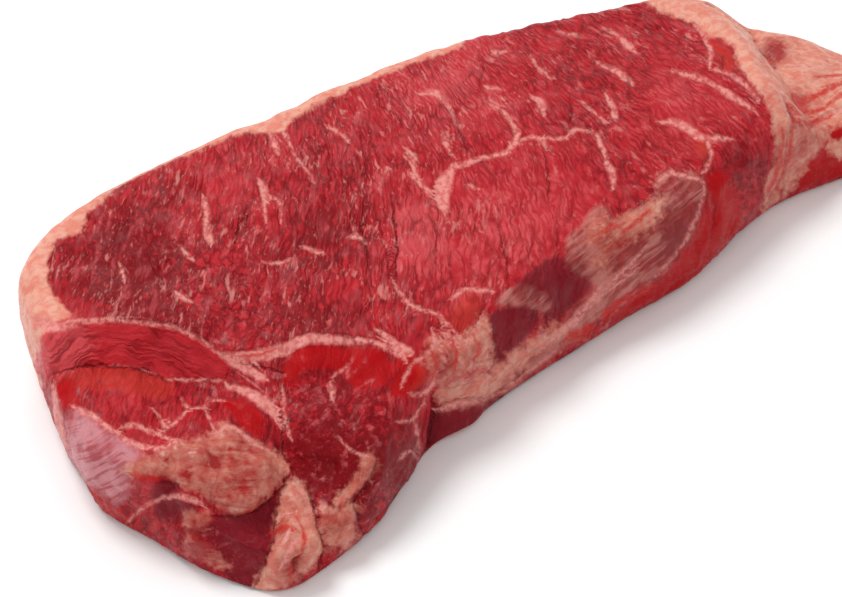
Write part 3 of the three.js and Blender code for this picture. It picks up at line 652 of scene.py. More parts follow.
# The surface's wetness and depth.
SHINE = {
    "Coat Roughness": 0.16, "Coat IOR": 1.36, "IOR": 1.4, "Specular IOR Level": 0.1,
    "Specular Tint": SHEEN,
    "Subsurface Weight": 0.16, "Subsurface Radius": (1.0, 0.32, 0.22), "Subsurface Scale": 0.0022,
}

# Noises of the material: scale, detail, roughness and distortion, with places in millimetres.
NOISE = {
    "bend": (0.5, 3.0, 0.62), "breaks": (0.9, 1.0, 0.6), "gate": (0.13, 1.0),
    "patches": (0.055, 3.0, 0.55), "scraps": (0.42, 3.0, 0.62, 0.3), "film": (1.0, 2.0, 0.6, 0.3),
    "where": (0.09, 1.0), "flecks": (1.0, 2.0, 0.55, 0.4), "specks": (1.0, 1.0, 0.5, 0.3),
    "streak": (1.0, 2.0, 0.62, 0.5), "cloud": (0.16, 2.0, 0.55), "fine": (3.0, 0.0),
    "fibre": (1.0, 2.0, 0.6), "strands": (1.1, 1.0, 0.6, 0.3), "blush": (0.19, 3.0, 0.6),
}
LOBULE = 2.6
LOBULE_NOISE = (2.0, 0.55, 0.4)
DRIFT_SCALE = 0.2
RIPPLE_SCALE = 0.75
MIDDLE = 0.5

# How the places of a noise are scaled, across and along its grain, and upwards.
STRETCH = {
    "film": (0.4, 0.14, 0.4), "flecks": (0.5, 0.2, 0.45), "specks": (1.2, 0.6, 1.1),
    "streak": (0.9, 0.12, 1.0), "fibre": (2.6, 0.8, 1.0), "long bundle": (0.36, 0.5, 1.0),
    "strands": (0.5, 1.1, 1.8),
}

# The values of its field between which a look goes from none to all, or from one amount to another.
RAMP = {
    "reach of a line": (1.0, 4.5, 1.0, 0.0), "breaks": (0.36, 0.54),
    "roughness of bundles": (0.36, 0.58, 0.3, 1.0), "groove": (0.0, 0.3, 1.0, 0.0),
    "crack": (0.0, 0.08, 1.0, 0.0), "gate of cracks": (0.4, 0.6), "top": (0.0, 0.42),
    "top of a long bundle": (0.0, 0.3), "full flesh": (-0.75, 0.1), "pale": (0.05, 1.0),
    "scraps": (0.52, 0.68), "deep": (0.54, 0.42), "film": (0.5, 0.7), "flecks": (0.6, 0.76),
    "specks": (0.62, 0.78), "skin": (0.72, 1.14), "scar": (0.75, 1.3),
    "scar's share": (0.7, 1.15, 0.6, 0.92), "cream": (0.38, 0.64),
    "gaps of the seams": (1.8, 4.5, 0.55, 0.12), "pale seam": (0.76, 1.16),
    "beside the seams": (-1.0, 2.5, 0.15, 1.0), "roughness": (0.3, 0.7, 0.34, 0.5),
    "wetness": (0.42, 0.62, 0.03, 0.22),
}

# How ragged and how soft the edges of the areas are, in picture points.
EDGES = {
    "mottled": (6.0, 4.0), "striped": (3.0, 2.0), "orange": (7.0, 5.0), "bright": (7.0, 4.0),
    "dark": (6.0, 3.5), "skin": (10.0, 7.0), "scar": (6.0, 4.0), "fat": (6.5, 1.9),
}

# How far the lines waver and how soft they are, in picture points, and their share of gaps.
CRACK_LOOK = (7.0, 0.9, 0.4)
RED_LOOK = (5.0, 1.8, 0.3)
SEAM_LOOK = (6.0, 2.3)
CRACK_WIDTH = 0.9
SEAM_WIDTH = 0.95

# Grains of the muscle: a bundle's width and length, its wander and its waver, in millimetres.
GRAINS = {"long": (1.5, 7.0, 2.8, 0.8), "curly": (2.0, 2.5, 3.2, 2.0), "striped": (1.5, 9.0, 2.6, 0.9)}
TOP_MIDDLE = 0.55

# How much of what is under it a finish covers. The groove, crack, traced crack and cracks in fat finishes
# are painted shade.
COVER = {
    "striped": 0.75, "pale": 0.75, "orange": 0.55, "bright": 0.93, "dark": 0.72, "scraps": 0.7,
    "deep": 0.6, "film": 0.5, "groove": 0.38, "crack": 0.6, "flecks": 0.6, "specks": 0.4,
    "traced crack": 0.85, "skin": 0.8, "painted shade of cracks in fat": 0.6, "seam": 0.92, "red": 0.85,
}

# How much of one field is added to another.
SHARE = {
    "curly in mottled": 0.85, "patches in tone": 1.5, "fibre in tone": 0.9, "bend in tone": 1.1,
    "calm in mottled": 0.6, "calmed": 0.7, "where in flecks": 0.35, "tone in scar": 0.45,
    "painted shade of hollows in blush": 0.5, "stain in blush": 1.5, "blush": 0.5, "streak in stain": 0.9,
    "stain in wetness": 0.5, "lobules in tone": 0.8, "strands in tone": 0.2, "painted highlight of tops in fibre": 0.55,
}

# How high each form of the finest relief stands, in units of 0.52 mm.
RISE = {
    "bundle": 0.62, "fibre": 0.4, "long bundle": 0.85, "fat": 0.7, "strands": 0.18, "traced crack": 0.9,
    "fine": 0.16, "scar": 0.5,
}
RISE_UNIT = 0.52 * MM
RISE_STRENGTH = 0.8


def smooth(share):
    share = np.clip(share, 0, 1)
    return share * share * (3 - 2 * share)


# Camera


def camera_directions():
    """The camera's right, up and back, and its place."""
    back = Vector((
        math.sin(CAMERA_TURN) * math.cos(CAMERA_RISE),
        -math.cos(CAMERA_TURN) * math.cos(CAMERA_RISE),
        math.sin(CAMERA_RISE),
    ))
    right = Vector((math.cos(CAMERA_TURN), math.sin(CAMERA_TURN), 0))
    return right, back.cross(right), back, LOOK_AT + back * CAMERA_AWAY


def add_camera():
    data = bpy.data.cameras.new("camera")
    data.lens = CAMERA_LENS
    data.sensor_width = CAMERA_SENSOR
    data.sensor_fit = "HORIZONTAL"
    data.clip_start = CAMERA_CLIP
    camera = bpy.data.objects.new("camera", data)
    bpy.context.scene.collection.objects.link(camera)
    _, _, back, eye = camera_directions()
    camera.location = eye
    camera.rotation_euler = back.to_track_quat("Z", "Y").to_euler()
    bpy.context.scene.camera = camera


def picture_places(points):
    """Where points of the object are in the picture."""
    right, up, back, eye = (np.array(v) for v in camera_directions())
    away = points - eye
    depth = -(away @ back)
    focal = CAMERA_LENS / CAMERA_SENSOR * PICTURE_WIDE
    across = PICTURE_WIDE / 2 + focal * (away @ right) / depth
    down = PICTURE_HIGH / 2 - focal * (away @ up) / depth
    return np.stack([across, down], 1)


# Traced features as fields over picture places


def curve_through(points, closed=False, steps=3):
    """A smooth curve through points, whose further values are carried along."""
    p = np.array(points, float)
    if closed:
        p = np.vstack([p[-1:], p, p[:2]])
    else:
        p = np.vstack([2 * p[0] - p[1], p, 2 * p[-1] - p[-2]])
    curve = []
    for a, b, c, d in zip(p[:-3], p[1:-2], p[2:-1], p[3:]):
        for t in np.arange(steps) / steps:
            curve.append(0.5 * (2 * b + (c - a) * t + (2 * a - 5 * b + 4 * c - d) * t * t
                                + (3 * b - a - 3 * c + d) * t ** 3))
    if not closed:
        curve.append(p[-2])
    return np.array(curve)


def along_segment(places, start, end):
    """For places, their offsets from a segment's start and its own, and the nearest share of it."""
    dx, dy = end[0] - start[0], end[1] - start[1]
    px, py = places[:, 0] - start[0], places[:, 1] - start[1]
    share = np.clip((px * dx + py * dy) / (dx * dx + dy * dy), 0, 1)
    return dx, dy, px, py, share


def nearest_line(places, lines):
    """The signed distance across the nearest line, the distance from it, and the value it carries."""
    near = np.full(len(places), NOWHERE_NEAR)
    across = np.full(len(places), NOWHERE_NEAR)
    carried = np.zeros(len(places))
    for points in lines.values():
        curve = curve_through(points)
        for start, end in zip(curve[:-1], curve[1:]):
            dx, dy, px, py, share = along_segment(places, start, end)
            away = np.hypot(px - share * dx, py - share * dy)
            closer = away < near
            near[closer] = away[closer]
            side = np.sign(px * dy - py * dx)
            across[closer] = (away * side)[closer]
            carried[closer] = (start[2] + share * (end[2] - start[2]))[closer]
    return across, near, carried


def limited(field):
    return np.clip(field, -FIELD_LIMIT, FIELD_LIMIT)


def inside_rings(places, rings, blur):
    """The distance from the edge of the rings, positive inside one of them, and less if it is blurred."""
    best = np.full(len(places), -NOWHERE_NEAR)
    for name, points in rings.items():
        ring = curve_through(points, closed=True, steps=2)
        near = np.full(len(places), NOWHERE_NEAR)
        within = np.zeros(len(places), bool)
        for start, end in zip(ring, np.roll(ring, -1, 0)):
            dx, dy, px, py, share = along_segment(places, start, end)
            near = np.minimum(near, np.hypot(px - share * dx, py - share * dy))
            if dy:
                crosses = (py >= min(dy, 0)) & (py < max(dy, 0)) & (px < dx * py / dy)
                within ^= crosses
        near /= blur.get(name, 1)
        best = np.maximum(best, np.where(within, near, -near))
    return limited(best)


def spots_at(places, spots):
    total = np.zeros(len(places))
    for x, y, reach, amount in spots.values():
        away = np.hypot(places[:, 0] - x, places[:, 1] - y) / reach
        total += amount * np.exp(-away * away)
    return total


def brush_at(places):
    """Coordinates across and along the brushed muscle and skin, in millimetres on the picture."""
    _, from_crest, _ = nearest_line(places, {"crest": RIDGE_LINES["crest"]})
    x, y = places.T
    turned_across = x * math.sin(BRUSH_TURN) + y * math.cos(BRUSH_TURN)
    turned_along = x * math.cos(BRUSH_TURN) - y * math.sin(BRUSH_TURN)
    right = smooth((x - BRUSH_CHANGE) / BRUSH_CHANGE_WIDTH)
    across = from_crest * (1 - right) + turned_across * right
    along = (x - BRUSH_SLOPE * y) * (1 - right) + turned_along * right
    return np.stack([across, along, np.zeros(len(x))], 1) / POINTS_PER_MM


AREAS = {
    "fat": FAT_RINGS, "skin": SKIN_RINGS, "scar": SCAR_RINGS, "dark": DARK_AND_SHADED_RINGS, "bright": BRIGHT_RINGS,
    "orange": ORANGE_RINGS, "striped": STRIPED_RINGS, "mottled": MOTTLED_RINGS,
}
TRACED_LINES = {
    "seam": (FAT_LINES, "seam_width"), "red": (RED_LINES, "red_width"),
    "crack": (CRACK_LINES, "crack_depth"),
}


def traced_fields(places):
    """All the traced features at places of the picture."""
    fields = {}
    for name, rings in AREAS.items():
        fields[name] = inside_rings(places, rings, FAT_BLUR if name == "fat" else {})
    for name, (lines, carried) in TRACED_LINES.items():
        across, near, fields[carried] = nearest_line(places, lines)
        fields[name + "_across"] = limited(across)
        fields[name + "_near"] = limited(near)
    _, ridge_near, ridge_rise = nearest_line(places, RIDGE_LINES)
    fields["ridge"] = ridge_rise * np.exp(-(ridge_near / RIDGE_HALF_WIDTH) ** 2)
    for name, spots in (("tone", TONE_SPOTS), ("stain", STAIN_SPOTS), ("bump", BUMP_SPOTS)):
        fields[name] = spots_at(places, spots)
    for name, spots in (("calm", CALM_SPOTS), ("squiggle", SQUIGGLE_SPOTS), ("torn", TORN_SPOTS)):
        fields[name] = np.clip(spots_at(places, spots), 0, 1)
    return fields


def cap_fields(points):
    """The same features for the fat cap, which hides from the camera."""
    count = len(points)
    x, z = points[:, 0], points[:, 2]
    rise = smooth((x - CAP_THIN_FROM) / CAP_THIN_SLOPE + 0.5)
    fall = smooth((CAP_THIN_TO - x) / CAP_THIN_SLOPE + 0.5)
    sway = sum(high * np.sin(x / long + start) for high, long, start in CAP_WAVES)
    fat = (CAP_TOP - z) / MM * CAP_SCALE + CAP_EDGE - CAP_THIN_BY * rise * fall + sway
    far = np.full(count, FIELD_LIMIT, float)
    fields = {name: -far for name in AREAS}
    for name, (_, carried) in TRACED_LINES.items():
        fields |= {name + "_across": far, name + "_near": far, carried: np.zeros(count)}
    fields |= {name: np.zeros(count) for name in ("ridge", "tone", "bump", "calm", "squiggle", "torn")}
    fields["fat"] = np.clip(fat, -FIELD_LIMIT, CAP_LIMIT)
    high, long, start = CAP_SKIN_WAVE
    skin = high * np.sin(x / long + start)
    high, long, along = CAP_SKIN_RISE_WAVE
    fields["skin"] = skin + high * np.sin(z / long + x / along) + CAP_SKIN
    fields["stain"] = np.full(count, CAP_STAIN)
    return fields


# Mesh


def smooth_copy(node):
    """A fine, smooth mesh of a CAD node, as a new object."""
    mesh = node.data.copy()
    work = bmesh.new()
    work.from_mesh(mesh)
    bmesh.ops.remove_doubles(work, verts=work.verts, dist=WELD)
    bmesh.ops.join_triangles(
        work, faces=work.faces[:], angle_face_threshold=QUAD_ANGLE, angle_shape_threshold=QUAD_ANGLE,
    )
    work.to_mesh(mesh)
    work.free()
    mesh.materials.clear()
    steak = bpy.data.objects.new("raw_steak", mesh)
    bpy.context.scene.collection.objects.link(steak)
    smoother = steak.modifiers.new("smooth", "SUBSURF")
    smoother.levels = SMOOTH_LEVELS
    smoother.render_levels = SMOOTH_LEVELS
    apply_modifiers(steak)
    return steak


def apply_modifiers(thing):
    """Turns what the modifiers show into the object's own plain mesh, and takes them off."""
    bpy.context.view_layer.update()
    shown = thing.evaluated_get(bpy.context.evaluated_depsgraph_get())
    mesh = bpy.data.meshes.new_from_object(shown)
    old = thing.data
    thing.modifiers.clear()
    thing.data = mesh
    bpy.data.meshes.remove(old)


def read_vectors(items, name):
    values = np.empty(3 * len(items), np.float32)
    items.foreach_get(name, values)
    return values.reshape(-1, 3).astype(float)


def store(mesh, name, values):
    """Keeps a number or a vector for each vertex as a named attribute."""
    if values.ndim == 1:
        mesh.attributes.new(name, "FLOAT", "POINT").data.foreach_set("value", values.astype(np.float32))
    else:
        vectors = mesh.attributes.new(name, "FLOAT_VECTOR", "POINT")
        vectors.data.foreach_set("vector", values.astype(np.float32).ravel())


def mirrored_above(mesh, points, under):
    """For points of the lower cut face, the points of the upper one straight above them."""
    tree = BVHTree.FromPolygons([v.co for v in mesh.vertices], [p.vertices for p in mesh.polygons])
    above = points.copy()
    for k in np.nonzero(under)[0]:
        hit = tree.ray_cast(Vector((points[k][0], points[k][1], ABOVE_ALL)), Vector((0, 0, -1)))[0]
        if hit:
            above[k] = hit
    return above


def grain_of(points):
    """Coordinates in millimetres that follow the eye's fibres: across them, along them, and height."""
    x, y, z = points.T
    lean = LEAN_CHINE + (LEAN_TAIL - LEAN_CHINE) * smooth((x - LEAN_FROM) / (LEAN_TO - LEAN_FROM))
    return np.stack([x - lean * y, y, z], 1) / MM


def hidden_from_camera(points, normals, under):
    """How much of the fat cap's side each point is: nothing where the camera sees it."""
    to_eye = np.array(camera_directions()[3]) - points
    to_eye /= np.linalg.norm(to_eye, axis=1)[:, None]
    facing = (normals * to_eye).sum(1)
    facing += HIDDEN_WAVE * np.sin(points[:, 2] / HIDDEN_WAVE_HIGH + points[:, 0] / HIDDEN_WAVE_LONG)
    hidden = 1 - smooth((facing - SEEN_FROM) / (SEEN_FULLY - SEEN_FROM))
    return hidden * (smooth((normals @ FAR_WAY) / FAR_SLOPE) * ~under)


def traced_relief(fields):
    """How far the traced forms stand out of the solid, in millimetres."""
    relief = FAT_SWELL * smooth(fields["fat"] / FAT_SLOPE)
    relief += SKIN_SWELL * smooth(fields["skin"] / FAT_SLOPE)
    relief -= DARK_SINK * smooth(fields["dark"] / FAT_SLOPE)
    relief -= CRACK_DEPTH * fields["crack_depth"] * np.exp(-(fields["crack_near"] / CRACK_HALF_WIDTH) ** 2)
    relief -= SEAM_SINK * np.exp(-(fields["seam_near"] / SEAM_HALF_WIDTH) ** 2)
    return relief + (RIDGE_RISE * fields["ridge"] + fields["bump"])


def add_attributes(steak):
    """Stores all that the relief and the material read, for each vertex."""
    mesh = steak.data
    points = read_vectors(mesh.vertices, "co")
    normals = read_vectors(mesh.vertices, "normal")
    under = (normals[:, 2] < UNDER_NORMAL) & (points[:, 2] < UNDER_HEIGHT)
    hidden = hidden_from_camera(points, normals, under)
    places = picture_places(np.where(under[:, None], mirrored_above(mesh, points, under), points))
    front = traced_fields(places)
    cap = cap_fields(points)
    fields = {name: (1 - hidden) * front[name] + hidden * cap[name] for name in front}
    for name, values in fields.items():
        store(mesh, name, values)
    store(mesh, "relief", traced_relief(fields) * (1 - under))
    store(mesh, "grain", grain_of(points))
    store(mesh, "brush", brush_at(places))
    store(mesh, "picture", np.column_stack([places, np.zeros(len(places))]) / POINTS_PER_MM)
    store(mesh, "flesh", 1 - smooth(fields["fat"] / FLESH_SLOPE + 0.5))
    store(mesh, "hold", smooth(points[:, 2] / HOLD_HEIGHT) * (1 - under))


# Node trees


class Nodes:
    """Adds nodes to a tree, and links what is given for their inputs."""

    def __init__(self, tree):
        self.tree = tree

    def add(self, kind, inputs=None, out=0, **settings):
        node = self.tree.nodes.new(kind)
        for name, value in settings.items():
            setattr(node, name, value)
        for key, value in (inputs or {}).items():
            self.give(node.inputs[key], value)
        return node.outputs[out]

    def give(self, socket, value):
        if isinstance(value, bpy.types.NodeSocket):
            self.tree.links.new(value, socket)
        else:
            socket.default_value = value

    def math(self, operation, a, b=0.0, clamp=False):
        return self.add("ShaderNodeMath", {0: a, 1: b}, operation=operation, use_clamp=clamp)

    def times(self, a, b):
        return self.math("MULTIPLY", a, b)

    def plus(self, a, b):
        return self.math("ADD", a, b)

    def minus(self, a, b):
        return self.math("SUBTRACT", a, b)

    def most(self, a, b):
        return self.math("MAXIMUM", a, b)

    def one_over(self, value):
        return self.math("DIVIDE", 1.0, value)

    def vector(self, operation, a, b):
        return self.add("ShaderNodeVectorMath", {0: a, 1: b}, operation=operation)

    def scaled(self, vector, x, y, z):
        return self.vector("MULTIPLY", vector, (x, y, z))

    def lengthened(self, vector, amount):
        return self.add("ShaderNodeVectorMath", {0: vector, "Scale": amount}, operation="SCALE")

    def between(self, value, low, high, to_low=0.0, to_high=1.0):
        inputs = {"Value": value, "From Min": low, "From Max": high, "To Min": to_low, "To Max": to_high}
        return self.add("ShaderNodeMapRange", inputs, interpolation_type="SMOOTHSTEP")

    def noise(self, vector, scale, detail=2.0, roughness=0.5, distortion=0.0, out="Fac", flat=False):
        inputs = {
            "Vector": vector, "Scale": scale, "Detail": detail, "Roughness": roughness,
            "Distortion": distortion,
        }
        return self.add("ShaderNodeTexNoise", inputs, out, noise_dimensions="2D" if flat else "3D")

    def cell_edges(self, vector):
        """The distance from the edges of flat cells."""
        return self.add("ShaderNodeTexVoronoi", {"Vector": vector, "Scale": 1.0}, "Distance",
                        feature="DISTANCE_TO_EDGE", voronoi_dimensions="2D")

    def mix(self, share, a, b):
        """A colour between two."""
        node = self.tree.nodes.new("ShaderNodeMix")
        node.data_type = "RGBA"
        for socket, value in zip((node.inputs[0], node.inputs[6], node.inputs[7]), (share, a, b)):
            self.give(socket, value)
        return node.outputs[2]

    def blend(self, share, a, b):
        """A number between two."""
        return self.add("ShaderNodeMix", {0: share, 2: a, 3: b})

    def attribute(self, name, out="Fac"):
        return self.add("ShaderNodeAttribute", out=out, attribute_name=name)

    def group(self, tree, inputs):
        return self.add("ShaderNodeGroup", inputs, node_tree=tree).node.outputs


def new_group(name, kind, inputs, outputs):
    """An empty node group with named sockets. Inputs are name: (type, default)."""
    tree = bpy.data.node_groups.new(name, kind)
    for label, (socket_type, default) in inputs.items():
        socket = tree.interface.new_socket(label, in_out="INPUT", socket_type=socket_type)
        if default is not None:
            socket.default_value = default
    for label, socket_type in outputs.items():
        tree.interface.new_socket(label, in_out="OUTPUT", socket_type=socket_type)
    start = tree.nodes.new("NodeGroupInput")
    end = tree.nodes.new("NodeGroupOutput")
    return tree, Nodes(tree), start.outputs, end.inputs


FLOAT = "NodeSocketFloat"
VECTOR = "NodeSocketVector"
GEOMETRY = "NodeSocketGeometry"
MATERIAL = "NodeSocketMaterial"


# Fine relief


def relief_tree():
    """Moves the surface by its traced relief and by bundles, lumps, torn flesh and a broad sway."""
    sizes = {name: (FLOAT, size) for name, size in RELIEF.items()}
    tree, n, given, result = new_group("fine relief of flesh", "GeometryNodeTree", {
        "Geometry": (GEOMETRY, None), **sizes, "Material": (MATERIAL, None),
    }, {"Geometry": GEOMETRY})
    tree.is_modifier = True

    def named(name, kind="FLOAT"):
        return n.add("GeometryNodeInputNamedAttribute", {"Name": name}, data_type=kind)

    def swing(noise, height):
        return n.times(n.minus(noise, MIDDLE), n.times(height, 2.0))

    flesh = named("flesh")
    place = n.scaled(n.add("GeometryNodeInputPosition"), 1 / MM, 1 / MM, 1 / MM)
    width = n.one_over(given["Bundle Width"])
    grain = n.add("ShaderNodeCombineXYZ", {0: width, 1: n.one_over(given["Bundle Length"]), 2: width})
    along = n.vector("MULTIPLY", named("grain", "FLOAT_VECTOR"), grain)
    bundles = n.noise(along, 1.0, *RELIEF_NOISE["bundle"])
    lumps = n.noise(place, n.one_over(given["Lump Width"]), *RELIEF_NOISE["lump"])
    torn = n.noise(place, n.one_over(given["Torn Width"]), *RELIEF_NOISE["torn"])
    sway = n.noise(place, n.one_over(given["Sway Width"]), *RELIEF_NOISE["sway"])

    rise = n.times(swing(bundles, given["Bundle Height"]), flesh)
    rise = n.plus(rise, n.times(swing(lumps, given["Lump Height"]), n.minus(1.0, flesh)))
    rise = n.plus(rise, n.times(swing(torn, given["Torn Height"]), named("torn")))
    rise = n.plus(rise, swing(sway, given["Sway Height"]))
    rise = n.plus(rise, n.times(named("relief"), MM))
    rise = n.times(rise, named("hold"))
    shift = n.lengthened(n.add("GeometryNodeInputNormal"), rise)
    moved = n.add("GeometryNodeSetPosition", {"Geometry": given["Geometry"], "Offset": shift})
    smoothed = n.add("GeometryNodeSetShadeSmooth", {"Geometry": moved})
    realized = n.add("GeometryNodeRealizeInstances", {"Geometry": smoothed})
    finished = n.add("GeometryNodeSetMaterial", {"Geometry": realized, "Material": given["Material"]})
    tree.links.new(finished, result["Geometry"])
    return tree


def raise_relief(steak, material):
    tree = relief_tree()
    relief = steak.modifiers.new("fine relief", "NODES")
    relief.node_group = tree
    for item in tree.interface.items_tree:
        if item.in_out == "INPUT" and item.name == "Material":
            relief[item.identifier] = material
    apply_modifiers(steak)


# Material


def ragged_edge():
    """An area's mask from the distance inside its edge, which is frayed by noise."""
    tree, n, given, result = new_group("ragged edge", "ShaderNodeTree", {
        "Distance": (FLOAT, 0), "Noise": (FLOAT, MIDDLE), "Raggedness": (FLOAT, 5),
        "Softness": (FLOAT, 1.5),
    }, {"Mask": FLOAT})
    frayed = n.plus(given["Distance"], n.times(n.minus(given["Noise"], MIDDLE), given["Raggedness"]))
    tree.links.new(n.between(frayed, n.times(given["Softness"], -1.0), given["Softness"]), result["Mask"])
    return tree


def wavering_line():
    """A line's mask from the distances across and from it; noise bends and breaks it."""
    tree, n, given, result = new_group("wavering line", "ShaderNodeTree", {
        "Across": (FLOAT, 0), "Near": (FLOAT, 0), "Width": (FLOAT, 1), "Bend": (FLOAT, MIDDLE),
        "Break": (FLOAT, MIDDLE), "Waver": (FLOAT, 4), "Softness": (FLOAT, 1), "Gaps": (FLOAT, 0.5),
    }, {"Mask": FLOAT})
    bend = n.minus(given["Bend"], MIDDLE)
    gap = n.math("ABSOLUTE", n.plus(given["Across"], n.times(bend, given["Waver"])))
    edge = n.minus(gap, given["Width"])
    mask = n.between(edge, n.times(given["Softness"], -1.0), given["Softness"], 1.0, 0.0)
    reach = n.minus(given["Near"], given["Width"])
    mask = n.times(mask, n.between(reach, *RAMP["reach of a line"]))
    broken = n.between(given["Break"], *RAMP["breaks"])
    broken = n.plus(n.times(broken, given["Gaps"]), n.minus(1.0, given["Gaps"]))
    tree.links.new(n.times(mask, broken), result["Mask"])
    return tree


def muscle_grain():
    """Bundles of fibres along the vector's Y, in millimetres, parted by grooves and longer cracks. The
    fibre tone is lighter on the bundle tops, a painted highlight.
    """
    bundle, length, wander, waver = GRAINS["long"]
    tree, n, given, result = new_group("muscle grain", "ShaderNodeTree", {
        "Vector": (VECTOR, None), "Drift": (VECTOR, None), "Ripple": (VECTOR, None),
        "Gate": (FLOAT, MIDDLE), "Bundle": (FLOAT, bundle), "Length": (FLOAT, length),
        "Wander": (FLOAT, wander), "Waver": (FLOAT, waver),
    }, {"Height": FLOAT, "Groove": FLOAT, "Crack": FLOAT, "Fibre": FLOAT})
    place = n.vector("ADD", given["Vector"], n.lengthened(given["Drift"], given["Wander"]))
    place = n.vector("ADD", place, n.lengthened(given["Ripple"], given["Waver"]))
    size = n.add("ShaderNodeCombineXYZ", {0: n.one_over(given["Bundle"]), 1: n.one_over(given["Length"])})
    stretched = n.vector("MULTIPLY", place, size)
    edge = n.cell_edges(stretched)
    long_edge = n.cell_edges(n.scaled(stretched, *STRETCH["long bundle"]))
    fibre = n.noise(n.scaled(stretched, *STRETCH["fibre"]), *NOISE["fibre"], flat=True)
    rough = n.between(given["Gate"], *RAMP["roughness of bundles"])
    groove = n.times(n.between(edge, *RAMP["groove"]), rough)
    crack = n.times(n.between(long_edge, *RAMP["crack"]), n.between(given["Gate"], *RAMP["gate of cracks"]))
    top = n.between(edge, *RAMP["top"])
    long_top = n.between(long_edge, *RAMP["top of a long bundle"])
    height = n.plus(n.times(n.times(top, RISE["bundle"]), rough), n.times(fibre, RISE["fibre"]))
    height = n.plus(height, n.times(long_top, RISE["long bundle"]))
    # Bundle tops lighten the fibre tone: a painted highlight.
    fibre = n.plus(fibre, n.times(n.minus(top, TOP_MIDDLE), SHARE["painted highlight of tops in fibre"]))
    for name, value in (("Height", height), ("Groove", groove), ("Crack", crack), ("Fibre", fibre)):
        tree.links.new(value, result[name])
    return tree


def fat_grain():
    """Fat in soft lobules with fine strands, in millimetres."""
    tree, n, given, result = new_group("fat grain", "ShaderNodeTree", {
        "Vector": (VECTOR, None), "Lobule": (FLOAT, LOBULE),
    }, {"Height": FLOAT, "Tone": FLOAT, "Blush": FLOAT})
    lobules = n.noise(given["Vector"], n.one_over(given["Lobule"]), *LOBULE_NOISE)
    strands = n.noise(n.scaled(given["Vector"], *STRETCH["strands"]), *NOISE["strands"])
    blush = n.noise(given["Vector"], *NOISE["blush"])
    tone = n.plus(n.times(lobules, SHARE["lobules in tone"]), n.times(strands, SHARE["strands in tone"]))
    tree.links.new(n.plus(lobules, n.times(strands, RISE["strands"])), result["Height"])
    tree.links.new(tone, result["Tone"])
    tree.links.new(blush, result["Blush"])
    return tree


class Beef(Nodes):
    """The steak's shader tree, with the noises, areas and lines that its finishes share."""

    def __init__(self, tree):
        super().__init__(tree)
        self.place = self.scaled(self.add("ShaderNodeTexCoord", out="Object"), 1 / MM, 1 / MM, 1 / MM)
        self.grain = self.attribute("grain", "Vector")
        self.brush = self.attribute("brush", "Vector")
        self.picture = self.attribute("picture", "Vector")
        self.bend = self.flat_noise("bend")
        self.breaks = self.flat_noise("breaks")
        streak = self.scaled(self.brush, *STRETCH["streak"])
        self.streak = self.noise(streak, *NOISE["streak"], flat=True)
        self.cloud = self.noise(self.place, *NOISE["cloud"])
        self.calm = self.attribute("calm")
        self.stain = self.attribute("stain")
        self.tone = self.attribute("tone")
        edge = ragged_edge()
        self.area = {name: self.masked_area(edge, name) for name in EDGES}
        self.add_lines(wavering_line())
        self.muscle = self.woven_muscle(muscle_grain())
        self.fat_look = self.group(fat_grain(), {"Vector": self.place, "Lobule": LOBULE})

    def flat_noise(self, name):
        return self.noise(self.picture, *NOISE[name], flat=True)

    def grain_noise(self, name):
        return self.noise(self.scaled(self.grain, *STRETCH[name]), *NOISE[name])

    def ramp(self, value, name):
        return self.between(value, *RAMP[name])

    def off_middle(self, value):
        return self.minus(value, MIDDLE)

    def covered(self, mask, name, under, over):
        """The colour under a mask, covered by another as far as the finish of this name covers."""
        return self.mix(self.times(mask, COVER[name]), under, over)

    def masked_area(self, edge, name):
        raggedness, softness = EDGES[name]
        return self.group(edge, {
            "Distance": self.attribute(name), "Noise": self.bend, "Raggedness": raggedness,
            "Softness": softness,
        })["Mask"]

    def traced_line(self, line, name, width, waver, softness, gaps):
        return self.group(line, {
            "Across": self.attribute(name + "_across"), "Near": self.attribute(name + "_near"),
            "Width": width, "Bend": self.bend, "Break": self.breaks, "Waver": waver, "Softness": softness,
            "Gaps": gaps,
        })["Mask"]

    def add_lines(self, line):
        crack = self.traced_line(line, "crack", CRACK_WIDTH, *CRACK_LOOK)
        self.crack = self.math("MULTIPLY", crack, self.attribute("crack_depth"), clamp=True)
        self.seam_width = self.attribute("seam_width")
        gaps = self.ramp(self.seam_width, "gaps of the seams")
        width = self.times(self.seam_width, SEAM_WIDTH)
        self.seam = self.traced_line(line, "seam", width, *SEAM_LOOK, gaps)
        self.red = self.traced_line(line, "red", self.attribute("red_width"), *RED_LOOK)

    def swing(self, scale):
        shift = self.noise(self.picture, scale, 0.0, out="Color", flat=True)
        return self.vector("SUBTRACT", shift, (MIDDLE, MIDDLE, MIDDLE))

    def woven_muscle(self, bundles):
        """The muscle's height, grooves, cracks and fibres, by whichever grain lies at a place."""
        drift, ripple = self.swing(DRIFT_SCALE), self.swing(RIPPLE_SCALE)
        gate = self.flat_noise("gate")
        looks = {}
        for name, vector in (("long", self.grain), ("curly", self.picture), ("striped", self.brush)):
            bundle, length, wander, waver = GRAINS[name]
            looks[name] = self.group(bundles, {
                "Vector": vector, "Drift": drift, "Ripple": ripple, "Gate": gate, "Bundle": bundle,
                "Length": length, "Wander": wander, "Waver": waver,
            })
        mottled = self.times(self.area["mottled"], SHARE["curly in mottled"])
        curly = self.most(self.attribute("squiggle"), mottled)
        woven = {}
        for output in ("Height", "Groove", "Crack", "Fibre"):
            value = self.blend(curly, looks["long"][output], looks["curly"][output])
            woven[output] = self.blend(self.area["striped"], value, looks["striped"][output])
        return woven


